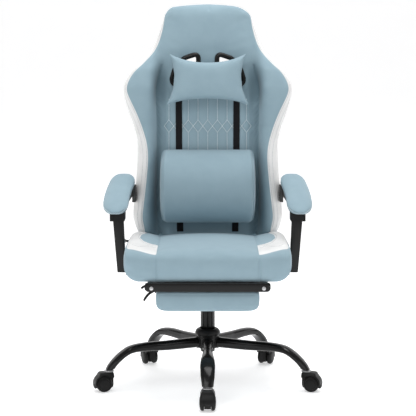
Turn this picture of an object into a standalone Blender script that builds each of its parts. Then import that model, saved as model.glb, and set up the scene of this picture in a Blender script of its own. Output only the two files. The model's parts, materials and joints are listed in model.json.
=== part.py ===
"""Gaming chair: five-star base on twin-wheel casters, gas lift, rocking seat, reclining back,
linked arms that follow the back, and a footrest that pulls out from under the seat.

Metres, +Z up. The chair faces -Y. The origin is on the floor, on the axis of the lift column.
Left and right are the sitter's own: right is -X.
"""

import math

import bmesh
import bpy
import numpy as np
from mathutils import Matrix, Vector

# --- driving dimensions, metres ---------------------------------------------------------------
GAP = 0.0003  # between pieces that touch
SIDES = (("right", -1), ("left", 1))

# base
STEM_CIRCLE = 0.322
LEG_AZIMUTHS = (-90, -18, 54, 126, 198)
CASTER_AZIMUTHS = (-90, -18, 66, 114, 198)  # where each caster trails at rest
HUB_RADIUS = 0.035
HUB_LOW, HUB_HIGH = 0.117, 0.159
LEG_PATH = ((0.0356, 0.135), (0.13, 0.131), (0.20, 0.131), (0.245, 0.127), (0.272, 0.1155),
            (0.300, 0.093), (0.321, 0.0675))  # radius, height
LEG_WIDTHS = (0.033, 0.0265, 0.033, 0.042, 0.0460, 0.043, 0.035)
LEG_DEPTHS = (0.033, 0.031, 0.028, 0.024, 0.021, 0.021, 0.023)

# casters
WHEEL_RADIUS = 0.025
WHEEL_FACETS = 24
WHEEL_INNER, WHEEL_OUTER = 0.0105, 0.0250  # faces of one wheel, along the axle
HOOD_HALF_WIDTH = 0.0222
HOOD_BACK_LOW = 0.040
TRAIL = 0.019
AXLE_RADIUS = 0.003
HOOD_TOP = 0.061
FENDER_RADIUS = 0.0292
WELL_RADIUS = 0.0264
STEM_RADIUS = 0.005
SOCKET_RADIUS = 0.006

# lift column
TUBE_OUTER, TUBE_INNER = 0.0235, 0.0150
TUBE_LOW, TUBE_HIGH = 0.105, 0.285
SPRING_RADIUS = 0.0140
SPRING_LOW, SPRING_HIGH = 0.112, 0.320

# tilt mechanism
TILT_PIVOT = (-0.06, 0.345)  # Y, Z
HOUSING_HALF_WIDTH = 0.055

# seat
SEAT_BOTTOM = 0.367
SEAT_STATIONS = (  # Y, half width, inset of the section, top
    (-0.268, 0.2545, 0.026, 0.453), (-0.262, 0.255, 0.012, 0.454), (-0.245, 0.256, 0.003, 0.455),
    (-0.17, 0.256, 0.0, 0.457), (-0.08, 0.2545, 0.0, 0.459), (0.02, 0.2535, 0.0, 0.459),
    (0.12, 0.250, 0.0, 0.457), (0.175, 0.247, 0.003, 0.455), (0.192, 0.245, 0.012, 0.452),
    (0.199, 0.240, 0.026, 0.450))
BOARD_HALF_WIDTH = 0.162
BOARD_LOW = 0.3548

# recline and arm linkage, each pivot as Y, Z
RECLINE_PIVOT = (0.222, 0.425)
ARM_REAR_PIVOT = (0.192, 0.590)
POST_PIVOT = (-0.030, 0.376)
ARM_FRONT_PIVOT = (-0.060, 0.541)

# back: height, half width
BACK_OUTLINE = ((0.450, 0.232), (0.510, 0.243), (0.560, 0.239), (0.620, 0.234), (0.680, 0.230),
                (0.740, 0.231), (0.800, 0.242), (0.860, 0.260), (0.900, 0.275), (0.925, 0.2785),
                (0.950, 0.272), (0.980, 0.254), (1.005, 0.228), (1.030, 0.205), (1.060, 0.184),
                (1.100, 0.164), (1.150, 0.148), (1.178, 0.132), (1.192, 0.110), (1.197, 0.086))
BACK_BOTTOM = 0.450
BELT_OPENING = ((0.034, 0.938), (0.088, 0.934), (0.118, 0.948), (0.106, 0.990), (0.080, 1.022),
                (0.034, 1.037))  # X, Z
TRIM_WIDTH = 0.012

# footrest
BAR_Y, BAR_Z = -0.261, 0.353
RAIL_X, RAIL_Z, RAIL_RADIUS = 0.172, 0.3465, 0.0068
RAIL_END = 0.130
PAD_LOW, PAD_HIGH = 0.277, 0.339
PAD_FRONT, PAD_REAR = -0.250, -0.095
PAD_HALF_WIDTH = 0.156

BLUE = (0.345, 0.470, 0.540)
WHITE = (0.86, 0.86, 0.85)
BLACK = (0.016, 0.016, 0.017)
STEEL = (0.55, 0.55, 0.56)


# --- scene and materials ----------------------------------------------------------------------
def clear_scene():
    for old in list(bpy.data.objects):
        bpy.data.objects.remove(old, do_unlink=True)


def new_collection(name):
    collection = bpy.data.collections.new(name)
    bpy.context.scene.collection.children.link(collection)
    return collection


clear_scene()
CHAIR = new_collection("gaming_chair")
CUTTERS = new_collection("cutters")


def give_material(obj, colour, roughness, metallic=0.0):
    """Each piece has its own Principled material."""
    material = bpy.data.materials.new(obj.name)
    material.use_nodes = True
    shader = material.node_tree.nodes["Principled BSDF"]
    shader.inputs["Base Color"].default_value = (*colour, 1.0)
    shader.inputs["Roughness"].default_value = roughness
    shader.inputs["Metallic"].default_value = metallic
    obj.data.materials.clear()
    obj.data.materials.append(material)


FINISHES = {
    "fabric": (BLUE, 0.9, 0.0),
    "white_leather": (WHITE, 0.5, 0.0),
    "black_paint": (BLACK, 0.25, 0.4),
    "black_plastic": (BLACK, 0.45, 0.0),
    "gloss_plastic": (BLACK, 0.2, 0.0),
    "webbing": (BLACK, 0.85, 0.0),
    "steel": (STEEL, 0.35, 1.0),
    "board": ((0.42, 0.31, 0.20), 0.8, 0.0),
}


# --- shape helpers ----------------------------------------------------------------------------
def add_piece(name, mesh, finish, matrix=None):
    """Link a mesh as a piece of the chair, with its finish and its place."""
    obj = bpy.data.objects.new(name, mesh)
    CHAIR.objects.link(obj)
    if matrix is not None:
        obj.matrix_world = matrix
    give_material(obj, *FINISHES[finish])
    mesh.shade_smooth()
    mesh.set_sharp_from_angle(angle=math.radians(40))
    return obj


def move_origin(obj, point):
    """Put an unturned piece's origin at a point, such as one on its joint's axis."""
    shift = Vector(point) - obj.location
    obj.data.transform(Matrix.Translation(-shift))
    obj.location = Vector(point)


def smooth(points, count):
    """Catmull-Rom curve through the points, at count even steps of its parameter."""
    p = np.array(points, float)
    p = np.vstack([2 * p[0] - p[1], p, 2 * p[-1] - p[-2]])
    samples = []
    for t in np.linspace(0, len(p) - 3, count):
        i = min(int(t), len(p) - 4)
        u = t - i
        a, b, c, d = p[i:i + 4]
        cubic = (3 * b - a - 3 * c + d) * u**3 + (2 * a - 5 * b + 4 * c - d) * u**2
        samples.append(0.5 * (2 * b + (c - a) * u + cubic))
    return np.array(samples)


def ramp(value, start, end):
    """0 up to start, 1 from end, and a smooth rise between them."""
    t = np.clip((value - start) / (end - start), 0.0, 1.0)
    return t * t * (3 - 2 * t)


def loft_mesh(name, rings):
    """Closed mesh through rings of equal length, with a flat face on each end."""
    bm = bmesh.new()
    layers = [[bm.verts.new(point) for point in ring] for ring in rings]
    count = len(rings[0])
    for low, high in zip(layers, layers[1:]):
        for i in range(count):
            j = (i + 1) % count
            bm.faces.new((low[i], low[j], high[j], high[i]))
    bm.faces.new(layers[0])
    bm.faces.new(layers[-1])
    bmesh.ops.triangulate(bm, faces=bm.faces)
    bmesh.ops.recalc_face_normals(bm, faces=bm.faces)
    mesh = bpy.data.meshes.new(name)
    bm.to_mesh(mesh)
    bm.free()
    return mesh


def rounded_section(half_width, low, high, low_radius, high_radius, steps=4):
    """Points (across, up) of a rectangle with its own radius on the lower and upper corners."""
    corners = ((1, low + low_radius, low_radius, -90), (1, high - high_radius, high_radius, 0),
               (-1, high - high_radius, high_radius, 90), (-1, low + low_radius, low_radius, 180))
    points = []
    for side, up, radius, start in corners:
        for k in range(steps + 1):
            angle = math.radians(start + 90 * k / steps)
            across = side * (half_width - radius) + radius * math.cos(angle)
            points.append((across, up + radius * math.sin(angle)))
    return points


def round_corners(points, radius, steps=3):
    """The polygon with each corner replaced by a short quadratic curve of about that radius."""
    rounded = []
    for i, corner in enumerate(points):
        corner = Vector(corner)
        before = Vector(points[i - 1])
        after = Vector(points[(i + 1) % len(points)])
        a = corner + (before - corner).normalized() * radius
        b = corner + (after - corner).normalized() * radius
        for k in range(steps + 1):
            t = k / steps
            rounded.append(tuple((1 - t)**2 * a + 2 * t * (1 - t) * corner + t * t * b))
    return rounded


def shrink(points, distance):
    """The convex polygon, listed anticlockwise, with every edge moved inwards."""
    moved = []
    for i, corner in enumerate(points):
        corner = Vector(corner)
        into = (corner - Vector(points[i - 1])).normalized()
        out = (Vector(points[(i + 1) % len(points)]) - corner).normalized()
        n1 = Vector((-into.y, into.x))
        n2 = Vector((-out.y, out.x))
        moved.append(tuple(corner + (n1 + n2) * distance / (1 + n1.dot(n2))))
    return moved


def curve_to_mesh(curve_object):
    """Replace a curve object by its mesh with the caps welded on, in the object's own frame."""
    graph = bpy.context.evaluated_depsgraph_get()
    mesh = bpy.data.meshes.new_from_object(curve_object.evaluated_get(graph))
    bm = bmesh.new()
    bm.from_mesh(mesh)
    bmesh.ops.remove_doubles(bm, verts=bm.verts, dist=0.00001)
    bmesh.ops.triangulate(bm, faces=bm.faces)
    bmesh.ops.recalc_face_normals(bm, faces=bm.faces)
    bm.to_mesh(mesh)
    bm.free()
    bpy.data.objects.remove(curve_object, do_unlink=True)
    return mesh


def plate_mesh(name, outlines, thickness):
    """Flat plate centred on its own XY plane; the outlines after the first are holes."""
    curve = bpy.data.curves.new(name, "CURVE")
    curve.dimensions = "2D"
    curve.fill_mode = "BOTH"
    curve.extrude = thickness / 2
    for outline in outlines:
        spline = curve.splines.new("POLY")
        spline.points.add(len(outline) - 1)
        for point, (x, y) in zip(spline.points, outline):
            point.co = (x, y, 0, 1)
        spline.use_cyclic_u = True
    obj = bpy.data.objects.new(name, curve)
    CHAIR.objects.link(obj)
    return curve_to_mesh(obj)


def tube_mesh(name, points, radii, resolution=2):
    """Round bar along the points, with its radius at each of them."""
    curve = bpy.data.curves.new(name, "CURVE")
    curve.dimensions = "3D"
    curve.bevel_depth = 1.0
    curve.bevel_resolution = resolution
    curve.use_fill_caps = True
    spline = curve.splines.new("POLY")
    spline.points.add(len(points) - 1)
    for point, place, radius in zip(spline.points, points, radii):
        point.co = (*place, 1)
        point.radius = radius
    obj = bpy.data.objects.new(name, curve)
    CHAIR.objects.link(obj)
    return curve_to_mesh(obj)


def side_plate(name, outlines, x_low, x_high, finish):
    """Plate in a plane of constant X, from outlines of (Y, Z)."""
    mesh = plate_mesh(name, outlines, x_high - x_low)
    turn = Matrix(((0, 0, 1), (1, 0, 0), (0, 1, 0))).to_4x4()
    mesh.transform(Matrix.Translation(((x_low + x_high) / 2, 0, 0)) @ turn)
    return add_piece(name, mesh, finish)


def box_mesh(name, low, high):
    """Box between two corners."""
    bm = bmesh.new()
    bmesh.ops.create_cube(bm, size=1.0)
    size = [b - a for a, b in zip(low, high)]
    middle = [(a + b) / 2 for a, b in zip(low, high)]
    bmesh.ops.scale(bm, vec=size, verts=bm.verts)
    bmesh.ops.translate(bm, vec=middle, verts=bm.verts)
    mesh = bpy.data.meshes.new(name)
    bm.to_mesh(mesh)
    bm.free()
    return mesh


def bevelled_box(name, low, high, bevel, finish):
    obj = add_piece(name, box_mesh(name, low, high), finish)
    edge = obj.modifiers.new("rounded_edges", "BEVEL")
    edge.width = bevel
    edge.segments = 2
    edge.limit_method = "ANGLE"
    return obj


def turned_mesh(name, profile, steps):
    """Turned body about Z. The profile of (radius, height) runs down the outer side; one that
    starts off the axis is closed into a ring."""
    mesh = bpy.data.meshes.new(name)
    count = len(profile)
    edges = [(i, i + 1) for i in range(count - 1)]
    if profile[0][0] > 0:
        edges.append((count - 1, 0))
    mesh.from_pydata([(r, 0, z) for r, z in profile], edges, [])
    obj = bpy.data.objects.new(name, mesh)
    CHAIR.objects.link(obj)
    screw = obj.modifiers.new("turn", "SCREW")
    screw.steps = steps
    screw.render_steps = steps
    screw.use_merge_vertices = True
    screw.merge_threshold = 0.00001
    graph = bpy.context.evaluated_depsgraph_get()
    turned = bpy.data.meshes.new_from_object(obj.evaluated_get(graph))
    bpy.data.objects.remove(obj, do_unlink=True)
    return turned


def cylinder_mesh(name, radius, low, high, steps):
    return turned_mesh(name, ((0, high), (radius, high), (radius, low), (0, low)), steps)


def boolean(obj, mesh, operation="DIFFERENCE"):
    """Cut a mesh from a piece, or join it on. The other body stays in the cutters collection."""
    cutter = bpy.data.objects.new(obj.name + "_cutter", mesh)
    CUTTERS.objects.link(cutter)
    cutter.matrix_world = obj.matrix_world
    cutter.hide_render = True
    cutter.display_type = "WIRE"
    step = obj.modifiers.new(operation.lower(), "BOOLEAN")
    step.operation = operation
    step.object = cutter
    step.solver = "EXACT"


def about_z(degrees):
    return Matrix.Rotation(math.radians(degrees), 4, "Z")


# --- base -------------------------------------------------------------------------------------
def make_hub():
    """Steel ring that the legs are welded to, with the tapered seat of the column."""
    bore = TUBE_OUTER + 0.001
    profile = ((bore, HUB_HIGH), (HUB_RADIUS, HUB_HIGH), (HUB_RADIUS, HUB_LOW), (bore, HUB_LOW))
    add_piece("base_hub", turned_mesh("base_hub", profile, 32), "black_paint")


def leg_rings():
    """Oval sections along the leg, each square to the path, the last one level."""
    path = smooth(LEG_PATH, 13)
    stations = np.linspace(0, len(LEG_PATH) - 1, len(path))
    widths = np.interp(stations, range(len(LEG_PATH)), LEG_WIDTHS)
    depths = np.interp(stations, range(len(LEG_PATH)), LEG_DEPTHS)
    tangents = np.gradient(path, axis=0)
    tangents[0] = (1, 0)
    tangents[-1] = (0, -1)
    rings = []
    for (r, z), (tr, tz), width, depth in zip(path, tangents, widths, depths):
        length = math.hypot(tr, tz)
        up = (-tz / length, tr / length)
        ring = []
        for k in range(12):
            angle = 2 * math.pi * k / 12
            across = width / 2 * math.copysign(abs(math.cos(angle))**0.8, math.cos(angle))
            high = depth / 2 * math.copysign(abs(math.sin(angle))**0.8, math.sin(angle))
            ring.append((r + up[0] * high, across, z + up[1] * high))
        rings.append(ring)
    return rings


def make_legs():
    """Five pressed steel legs, bent down at the end, each with a socket for its caster."""
    rings = leg_rings()
    for number, azimuth in enumerate(LEG_AZIMUTHS, 1):
        name = f"base_leg_{number}"
        leg = add_piece(name, loft_mesh(name, rings), "black_paint", about_z(azimuth))
        socket = cylinder_mesh(name + "_socket", SOCKET_RADIUS, 0.055, 0.0765, 16)
        socket.transform(Matrix.Translation((STEM_CIRCLE, 0, 0)))
        boolean(leg, socket)


def make_column():
    """Collar on the hub, fixed outer tube, and the gas spring that slides and turns in it."""
    bore = TUBE_OUTER + 0.001
    low = HUB_HIGH + GAP
    collar = ((bore, 0.178), (0.031, 0.178), (0.037, 0.175), (0.0405, 0.168), (0.0405, low),
              (bore, low))
    add_piece("column_collar", turned_mesh("column_collar", collar, 28), "black_plastic")
    tube = ((TUBE_INNER, TUBE_HIGH), (TUBE_OUTER, TUBE_HIGH), (TUBE_OUTER, TUBE_LOW),
            (TUBE_INNER, TUBE_LOW))
    add_piece("column_tube", turned_mesh("column_tube", tube, 28), "black_paint")
    spring = cylinder_mesh("gas_spring", SPRING_RADIUS, SPRING_LOW, SPRING_HIGH, 24)
    add_piece("gas_spring", spring, "steel")


# --- casters ----------------------------------------------------------------------------------
def hood_outline():
    """Side of the hood, with the swivel axis at 0 and the caster trailing along +X."""
    centre = (TRAIL, WHEEL_RADIUS)
    points = [(-0.0125, HOOD_TOP), (-0.0125, 0.036), (-0.008, 0.020), (0.009, 0.012),
              (0.026, 0.012), (0.040, 0.018)]
    for degrees in range(-8, 76, 12):
        angle = math.radians(degrees)
        points.append((centre[0] + FENDER_RADIUS * math.cos(angle),
                       centre[1] + FENDER_RADIUS * math.sin(angle)))
    points.append((0.012, HOOD_TOP))
    return points


def make_hood_mesh():
    """Moulded hood: a fender over both wheels, with one web between them that holds the axle."""
    mesh = plate_mesh("caster_hood", [hood_outline()], 2 * HOOD_HALF_WIDTH)
    mesh.transform(Matrix.Rotation(math.radians(90), 4, "X"))
    hood = add_piece("caster_hood", mesh, "black_plastic")
    web = WHEEL_INNER - 0.0007
    for side in (-1, 1):
        well = cylinder_mesh("caster_well", WELL_RADIUS, web, 0.03, 40)
        well.transform(Matrix.Rotation(math.radians(-90 * side), 4, "X"))
        well.transform(Matrix.Translation((TRAIL, 0, WHEEL_RADIUS)))
        boolean(hood, well)
        notch = sorted((side * (web + 0.0003), side * 0.03))
        boolean(hood, box_mesh("back_notch", (-0.02, notch[0], 0.0),
                               (0.0, notch[1], HOOD_BACK_LOW)))
    axle = cylinder_mesh("caster_axle", AXLE_RADIUS, -0.019, 0.019, 12)
    axle.transform(Matrix.Rotation(math.radians(90), 4, "X"))
    axle.transform(Matrix.Translation((TRAIL, 0, WHEEL_RADIUS)))
    boolean(hood, axle, "UNION")
    graph = bpy.context.evaluated_depsgraph_get()
    finished = bpy.data.meshes.new_from_object(hood.evaluated_get(graph))
    bpy.data.objects.remove(hood, do_unlink=True)
    return finished


def make_wheel_mesh():
    """One wheel about Z, its outer face up, with a blind bore for the axle on the inner face."""
    outer = WHEEL_RADIUS / math.cos(math.pi / WHEEL_FACETS)
    profile = ((0, WHEEL_OUTER), (0.014, WHEEL_OUTER - 0.0008), (0.021, WHEEL_OUTER - 0.0028),
               (outer, WHEEL_OUTER - 0.007), (outer, WHEEL_INNER + 0.001), (0.023, WHEEL_INNER),
               (0.0036, WHEEL_INNER), (0.0036, 0.0196), (0, 0.0196))
    mesh = turned_mesh("caster_wheel", profile, WHEEL_FACETS)
    mesh.transform(about_z(180 / WHEEL_FACETS))
    return mesh


def make_casters():
    """Five twin-wheel casters: steel stem, hood, and two wheels that turn on their own."""
    hood_mesh = make_hood_mesh()
    wheel_mesh = make_wheel_mesh()
    stem_profile = ((0, 0.0745), (STEM_RADIUS, 0.0745), (STEM_RADIUS, 0.0645), (0.009, 0.0645),
                    (0.009, HOOD_TOP + GAP), (0, HOOD_TOP + GAP))
    stem_mesh = turned_mesh("caster_stem", stem_profile, 16)
    for number, (leg, trail) in enumerate(zip(LEG_AZIMUTHS, CASTER_AZIMUTHS), 1):
        axis = about_z(leg) @ Vector((STEM_CIRCLE, 0, 0))
        swivel = Matrix.Translation(axis) @ about_z(trail)
        name = f"caster_{number}_"
        add_piece(name + "stem", stem_mesh.copy(), "steel", swivel)
        add_piece(name + "hood", hood_mesh.copy(), "black_plastic", swivel)
        hub = swivel @ Matrix.Translation((TRAIL, 0, WHEEL_RADIUS))
        for side, sign in SIDES:
            # the wheel's outer face points away from the hood's web
            turn = Matrix.Rotation(math.radians(-90 * sign), 4, "X")
            add_piece(name + "wheel_" + side, wheel_mesh.copy(), "black_plastic", hub @ turn)


# --- mechanism --------------------------------------------------------------------------------
def make_mechanism():
    """Pressed housing on the gas spring, its tension knob and its two levers."""
    side = ((-0.085, 0.290), (0.105, 0.290), (0.105, 0.3115), (-0.068, 0.3475), (-0.085, 0.3475))
    half = HOUSING_HALF_WIDTH
    housing = side_plate("tilt_housing", [round_corners(side, 0.004)], -half, half, "black_paint")
    boolean(housing, cylinder_mesh("spring_socket", 0.0155, 0.27, SPRING_HIGH + 0.0015, 24))

    knob = ((0, 0.2892), (0.008, 0.2892), (0.008, 0.285), (0.019, 0.283), (0.022, 0.279),
            (0.022, 0.264), (0.018, 0.261), (0, 0.261))
    place = Matrix.Translation((0, TILT_PIVOT[0] - 0.002, 0))
    add_piece("tension_knob", turned_mesh("tension_knob", knob, 16), "black_plastic", place)

    start = -half - 0.0006
    handle = smooth(((start, 0.020, 0.305), (-0.110, 0.020, 0.305), (-0.160, 0.018, 0.302),
                     (-0.181, 0.012, 0.294), (-0.192, 0.008, 0.281), (-0.199, 0.006, 0.266)), 14)
    radii = [0.004] * 6 + [0.0045, 0.005, 0.0055, 0.006, 0.006, 0.006, 0.0055, 0.004]
    lever = add_piece("height_lever", tube_mesh("height_lever", handle, radii), "black_plastic")
    move_origin(lever, (start, 0.020, 0.305))

    rod = smooth(((start, -0.026, 0.321), (-0.150, -0.026, 0.321), (-0.190, -0.026, 0.320),
                  (-0.207, -0.026, 0.311)), 9)
    radii = [0.003] * 7 + [0.0036, 0.003]
    add_piece("tilt_lock_lever", tube_mesh("tilt_lock_lever", rod, radii), "black_plastic")


# --- seat -------------------------------------------------------------------------------------
def make_seat():
    """Steel plate on the mechanism, plywood board, and the foam cushion over both."""
    y, z = TILT_PIVOT
    plate = bevelled_box("seat_plate", (-0.0605, -0.11, z + 0.006), (0.0605, 0.13, z + 0.0095),
                         0.0008, "black_paint")
    for sign in (-1, 1):
        ear = sorted((sign * (HOUSING_HALF_WIDTH + 0.002), sign * 0.0605))
        boolean(plate, box_mesh("tilt_ear", (ear[0], y - 0.016, z - 0.014),
                                (ear[1], y + 0.016, z + 0.008)), "UNION")
    move_origin(plate, (0, y, z))

    outline = round_corners(((-BOARD_HALF_WIDTH, -0.236), (BOARD_HALF_WIDTH, -0.236),
                             (BOARD_HALF_WIDTH, 0.180), (-BOARD_HALF_WIDTH, 0.180)), 0.02)
    high = SEAT_BOTTOM - GAP
    board = plate_mesh("seat_board", [outline], high - BOARD_LOW)
    board.transform(Matrix.Translation((0, 0, (high + BOARD_LOW) / 2)))
    move_origin(add_piece("seat_board", board, "board"), (0, y, z))

    rings = []
    for station, half_width, inset, top in SEAT_STATIONS:
        height = top - SEAT_BOTTOM - 2 * inset
        section = rounded_section(half_width - inset, SEAT_BOTTOM + inset, top - inset,
                                  0.66 * height, 0.30 * height)
        rings.append([(across, station, up) for across, up in section])
    cushion = add_piece("seat_cushion", loft_mesh("seat_cushion", rings), "fabric")
    move_origin(cushion, (0, y, z))


def make_side_rails():
    """Steel rail under each side of the seat: it carries the recline pivot behind the cushion,
    and the pivot of the arm's post on a strap in front."""
    py, pz = RECLINE_PIVOT
    outline = ((-0.060, 0.346), (0.240, 0.346), (0.240, pz + 0.016), (0.2035, pz + 0.016),
               (0.2035, 0.3655), (-0.060, 0.3655))
    for side, sign in SIDES:
        x = sorted((sign * 0.212, sign * 0.218))
        rail = side_plate("side_rail_" + side, [round_corners(outline, 0.006)], *x, "black_paint")
        y = POST_PIVOT[0]
        strap = sorted((sign * (BOARD_HALF_WIDTH + 0.0005), sign * 0.2555))
        boolean(rail, box_mesh("strap", (strap[0], y - 0.02, 0.356), (strap[1], y + 0.02, 0.3635)),
                "UNION")
        ear = sorted((sign * 0.2505, sign * 0.2555))
        boolean(rail, box_mesh("post_ear", (ear[0], y - 0.014, 0.3585), (ear[1], y + 0.014, 0.390)),
                "UNION")
        move_origin(rail, (sign * 0.215, py, pz))


# --- footrest ---------------------------------------------------------------------------------
def make_footrest():
    """Bent tube frame that slides out under the seat, and the pad that flips over its bar."""
    for side, sign in SIDES:
        x = sorted((sign * (BOARD_HALF_WIDTH + GAP), sign * 0.1815))
        guide = bevelled_box("footrest_guide_" + side, (x[0], -0.212, 0.3367),
                             (x[1], -0.085, 0.3563), 0.0009, "black_paint")
        bore = cylinder_mesh("guide_bore", RAIL_RADIUS + 0.0010, -0.1, 0.3, 16)
        bore.transform(Matrix.Rotation(math.radians(90), 4, "X"))
        bore.transform(Matrix.Translation((sign * RAIL_X, 0, RAIL_Z)))
        boolean(guide, bore)

    bar = add_piece("footrest_frame",
                    box_mesh("footrest_frame", (-0.183, BAR_Y - 0.007, 0.3397),
                             (0.183, BAR_Y + 0.007, 0.3664)), "black_paint")
    for sign in (-1, 1):
        rail = cylinder_mesh("rail", RAIL_RADIUS, -RAIL_END, -BAR_Y, 16)
        rail.transform(Matrix.Rotation(math.radians(90), 4, "X"))
        rail.transform(Matrix.Translation((sign * RAIL_X, 0, RAIL_Z)))
        boolean(bar, rail, "UNION")

    stations = ((PAD_FRONT, 0.014), (PAD_FRONT + 0.004, 0.005), (PAD_FRONT + 0.014, 0.0),
                (PAD_REAR - 0.014, 0.0), (PAD_REAR - 0.004, 0.005), (PAD_REAR, 0.014))
    rings = []
    for station, inset in stations:
        section = rounded_section(PAD_HALF_WIDTH - inset, PAD_LOW + inset, PAD_HIGH - inset,
                                  0.020 - inset / 2, 0.016 - inset / 2)
        rings.append([(across, station, up) for across, up in section])
    pad = add_piece("footrest_pad", loft_mesh("footrest_pad", rings), "fabric")
    move_origin(pad, (0, BAR_Y, BAR_Z))


# --- back -------------------------------------------------------------------------------------
def back_face(z):
    """Y of the back's front face on its centre line."""
    return 0.205 + (z - BACK_BOTTOM) * 0.142


def back_rear(z):
    """Y of the back's rear face."""
    return 0.290 + (z - BACK_BOTTOM) * 0.110


def wing_reach(x, z):
    """How far the padded wings stand forward of the centre panel."""
    height = np.interp(z, (0.485, 0.56, 0.85, 0.93, 1.00, 1.05), (0, 0.045, 0.045, 0.05, 0.04, 0))
    start = np.interp(z, (0.75, 0.86), (0.165, 0.150))
    return height * ramp(np.abs(x), start, start + 0.045)


def back_section(z, half_width, inset):
    """Closed ring at one height: the front face from right to left, then the rear face."""
    front = np.linspace(-1, 1, 15) * (half_width - inset)
    rear = np.linspace(1, -1, 7) * (half_width - inset)
    edge = 0.012 * (np.abs(front) / (half_width - inset))**6
    front_y = back_face(z) - wing_reach(front, z) + edge + inset
    rear_y = back_rear(z) - 0.012 * (np.abs(rear) / (half_width - inset))**6 - inset
    ring = [(x, y, z) for x, y in zip(front, front_y)]
    return ring + [(x, y, z) for x, y in zip(rear, rear_y)]


def opening_prism(name, outline, front, rear):
    """Prism through the back along Y from an outline of (X, Z)."""
    mesh = plate_mesh(name, [outline], rear - front)
    mesh.transform(Matrix.Rotation(math.radians(90), 4, "X"))
    mesh.transform(Matrix.Translation((0, (front + rear) / 2, 0)))
    return mesh


def make_back():
    """Padded back with two belt openings, their plastic trims, and the webbing in front."""
    heights = [z for z, _ in BACK_OUTLINE]
    rings = []
    for z, half_width in BACK_OUTLINE:
        from_end = min(z - heights[0], heights[-1] - z)
        inset = 0.010 * (1 - float(ramp(from_end, 0.0, 0.02)))
        rings.append(back_section(z, half_width, inset))
    cushion = add_piece("back_cushion", loft_mesh("back_cushion", rings), "fabric")
    for side, sign in SIDES:
        outline = [(sign * x, z) for x, z in BELT_OPENING][::sign]
        opening = round_corners(outline, 0.008)
        boolean(cushion, opening_prism("belt_opening", opening, 0.15, 0.45))
        trim_outer = round_corners(shrink(outline, 0.0006), 0.0077)
        trim_inner = round_corners(shrink(outline, TRIM_WIDTH), 0.005)
        trim = plate_mesh("belt_trim", [trim_outer, trim_inner], 0.050)
        lean = Matrix.Rotation(math.radians(90), 4, "X")
        trim.transform(Matrix.Translation((0, 0.311, 0)) @ lean)
        # shear the trim so that its rim follows the leaning face
        trim.transform(Matrix.Translation((0, -0.142 * 0.986, 0)))
        trim.transform(Matrix(((1, 0, 0, 0), (0, 1, 0.142, 0), (0, 0, 1, 0), (0, 0, 0, 1))))
        piece = add_piece("belt_trim_" + side, trim, "gloss_plastic")
        move_origin(piece, (0, *RECLINE_PIVOT))
    move_origin(cushion, (0, *RECLINE_PIVOT))


def make_straps():
    """Two flat webbing straps down the front of the back, behind both pillows."""
    for side, sign in SIDES:
        rings = []
        for z in np.linspace(0.457, 0.930, 6):
            centre = sign * np.interp(z, (0.457, 0.70, 0.93), (0.088, 0.092, 0.094))
            y = float(back_face(z))
            rings.append([(centre - 0.0105, y - 0.0022, z), (centre + 0.0105, y - 0.0022, z),
                          (centre + 0.0105, y - 0.0007, z), (centre - 0.0105, y - 0.0007, z)])
        name = "back_strap_" + side
        strap = add_piece(name, loft_mesh(name, rings), "webbing")
        move_origin(strap, (0, *RECLINE_PIVOT))


def make_back_brackets():
    """Steel bracket from each recline pivot, under the back and up behind it."""
    y, z = RECLINE_PIVOT
    outline = ((y - 0.017, z - 0.012), (y - 0.008, z - 0.018), (0.296, z - 0.014),
               (0.2975, 0.448), (0.3075, 0.575), (0.2990, 0.575), (0.2860, 0.4445),
               (y - 0.010, 0.4435), (y - 0.017, z + 0.008))
    for side, sign in SIDES:
        x = sorted((sign * 0.2188, sign * 0.2248))
        name = "back_bracket_" + side
        bracket = side_plate(name, [outline], *x, "black_paint")
        move_origin(bracket, (sign * 0.2218, y, z))


def make_recline_lever():
    """Rod from the right recline pivot out past the seat's side, with a thick grip."""
    y, z = RECLINE_PIVOT
    path = smooth(((-0.2254, y, z), (-0.258, y, z), (-0.271, y - 0.012, z + 0.002),
                   (-0.274, 0.175, z + 0.007), (-0.2745, 0.120, z + 0.016)), 12)
    radii = [0.004] * 7 + [0.0055, 0.0075, 0.008, 0.0075, 0.0055]
    lever = add_piece("recline_lever", tube_mesh("recline_lever", path, radii), "black_plastic")
    move_origin(lever, (-0.2254, y, z))


# --- pillows ----------------------------------------------------------------------------------
def make_head_pillow():
    """Pincushion pillow: four corners drawn out, sides curved in, plump in the middle."""
    middle, half_length = 0.957, 0.124
    rings = []
    for x in np.linspace(-1, 1, 13):
        x = float(np.sin(x * math.pi / 2))
        half_height = 0.060 + 0.024 * abs(x)**2.2
        bow = 0.012 * (1 - abs(x))
        depth = 0.032 * (1 - x * x)**0.5 + 0.004
        ring = []
        for k in range(16):
            angle = 2 * math.pi * k / 16
            across = math.copysign(abs(math.sin(angle))**0.75, math.sin(angle))
            end = x * (half_length - 0.014 * (1 - across * across) * abs(x))
            z = middle + half_height * across + bow * 0.2
            y = float(back_face(z)) - 0.042 - depth * math.cos(angle) * 0.98
            ring.append((end, y, z))
        rings.append(ring)
    pillow = add_piece("head_pillow", loft_mesh("head_pillow", rings), "fabric")
    move_origin(pillow, (0, float(back_face(middle)) - 0.042, middle))


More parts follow.
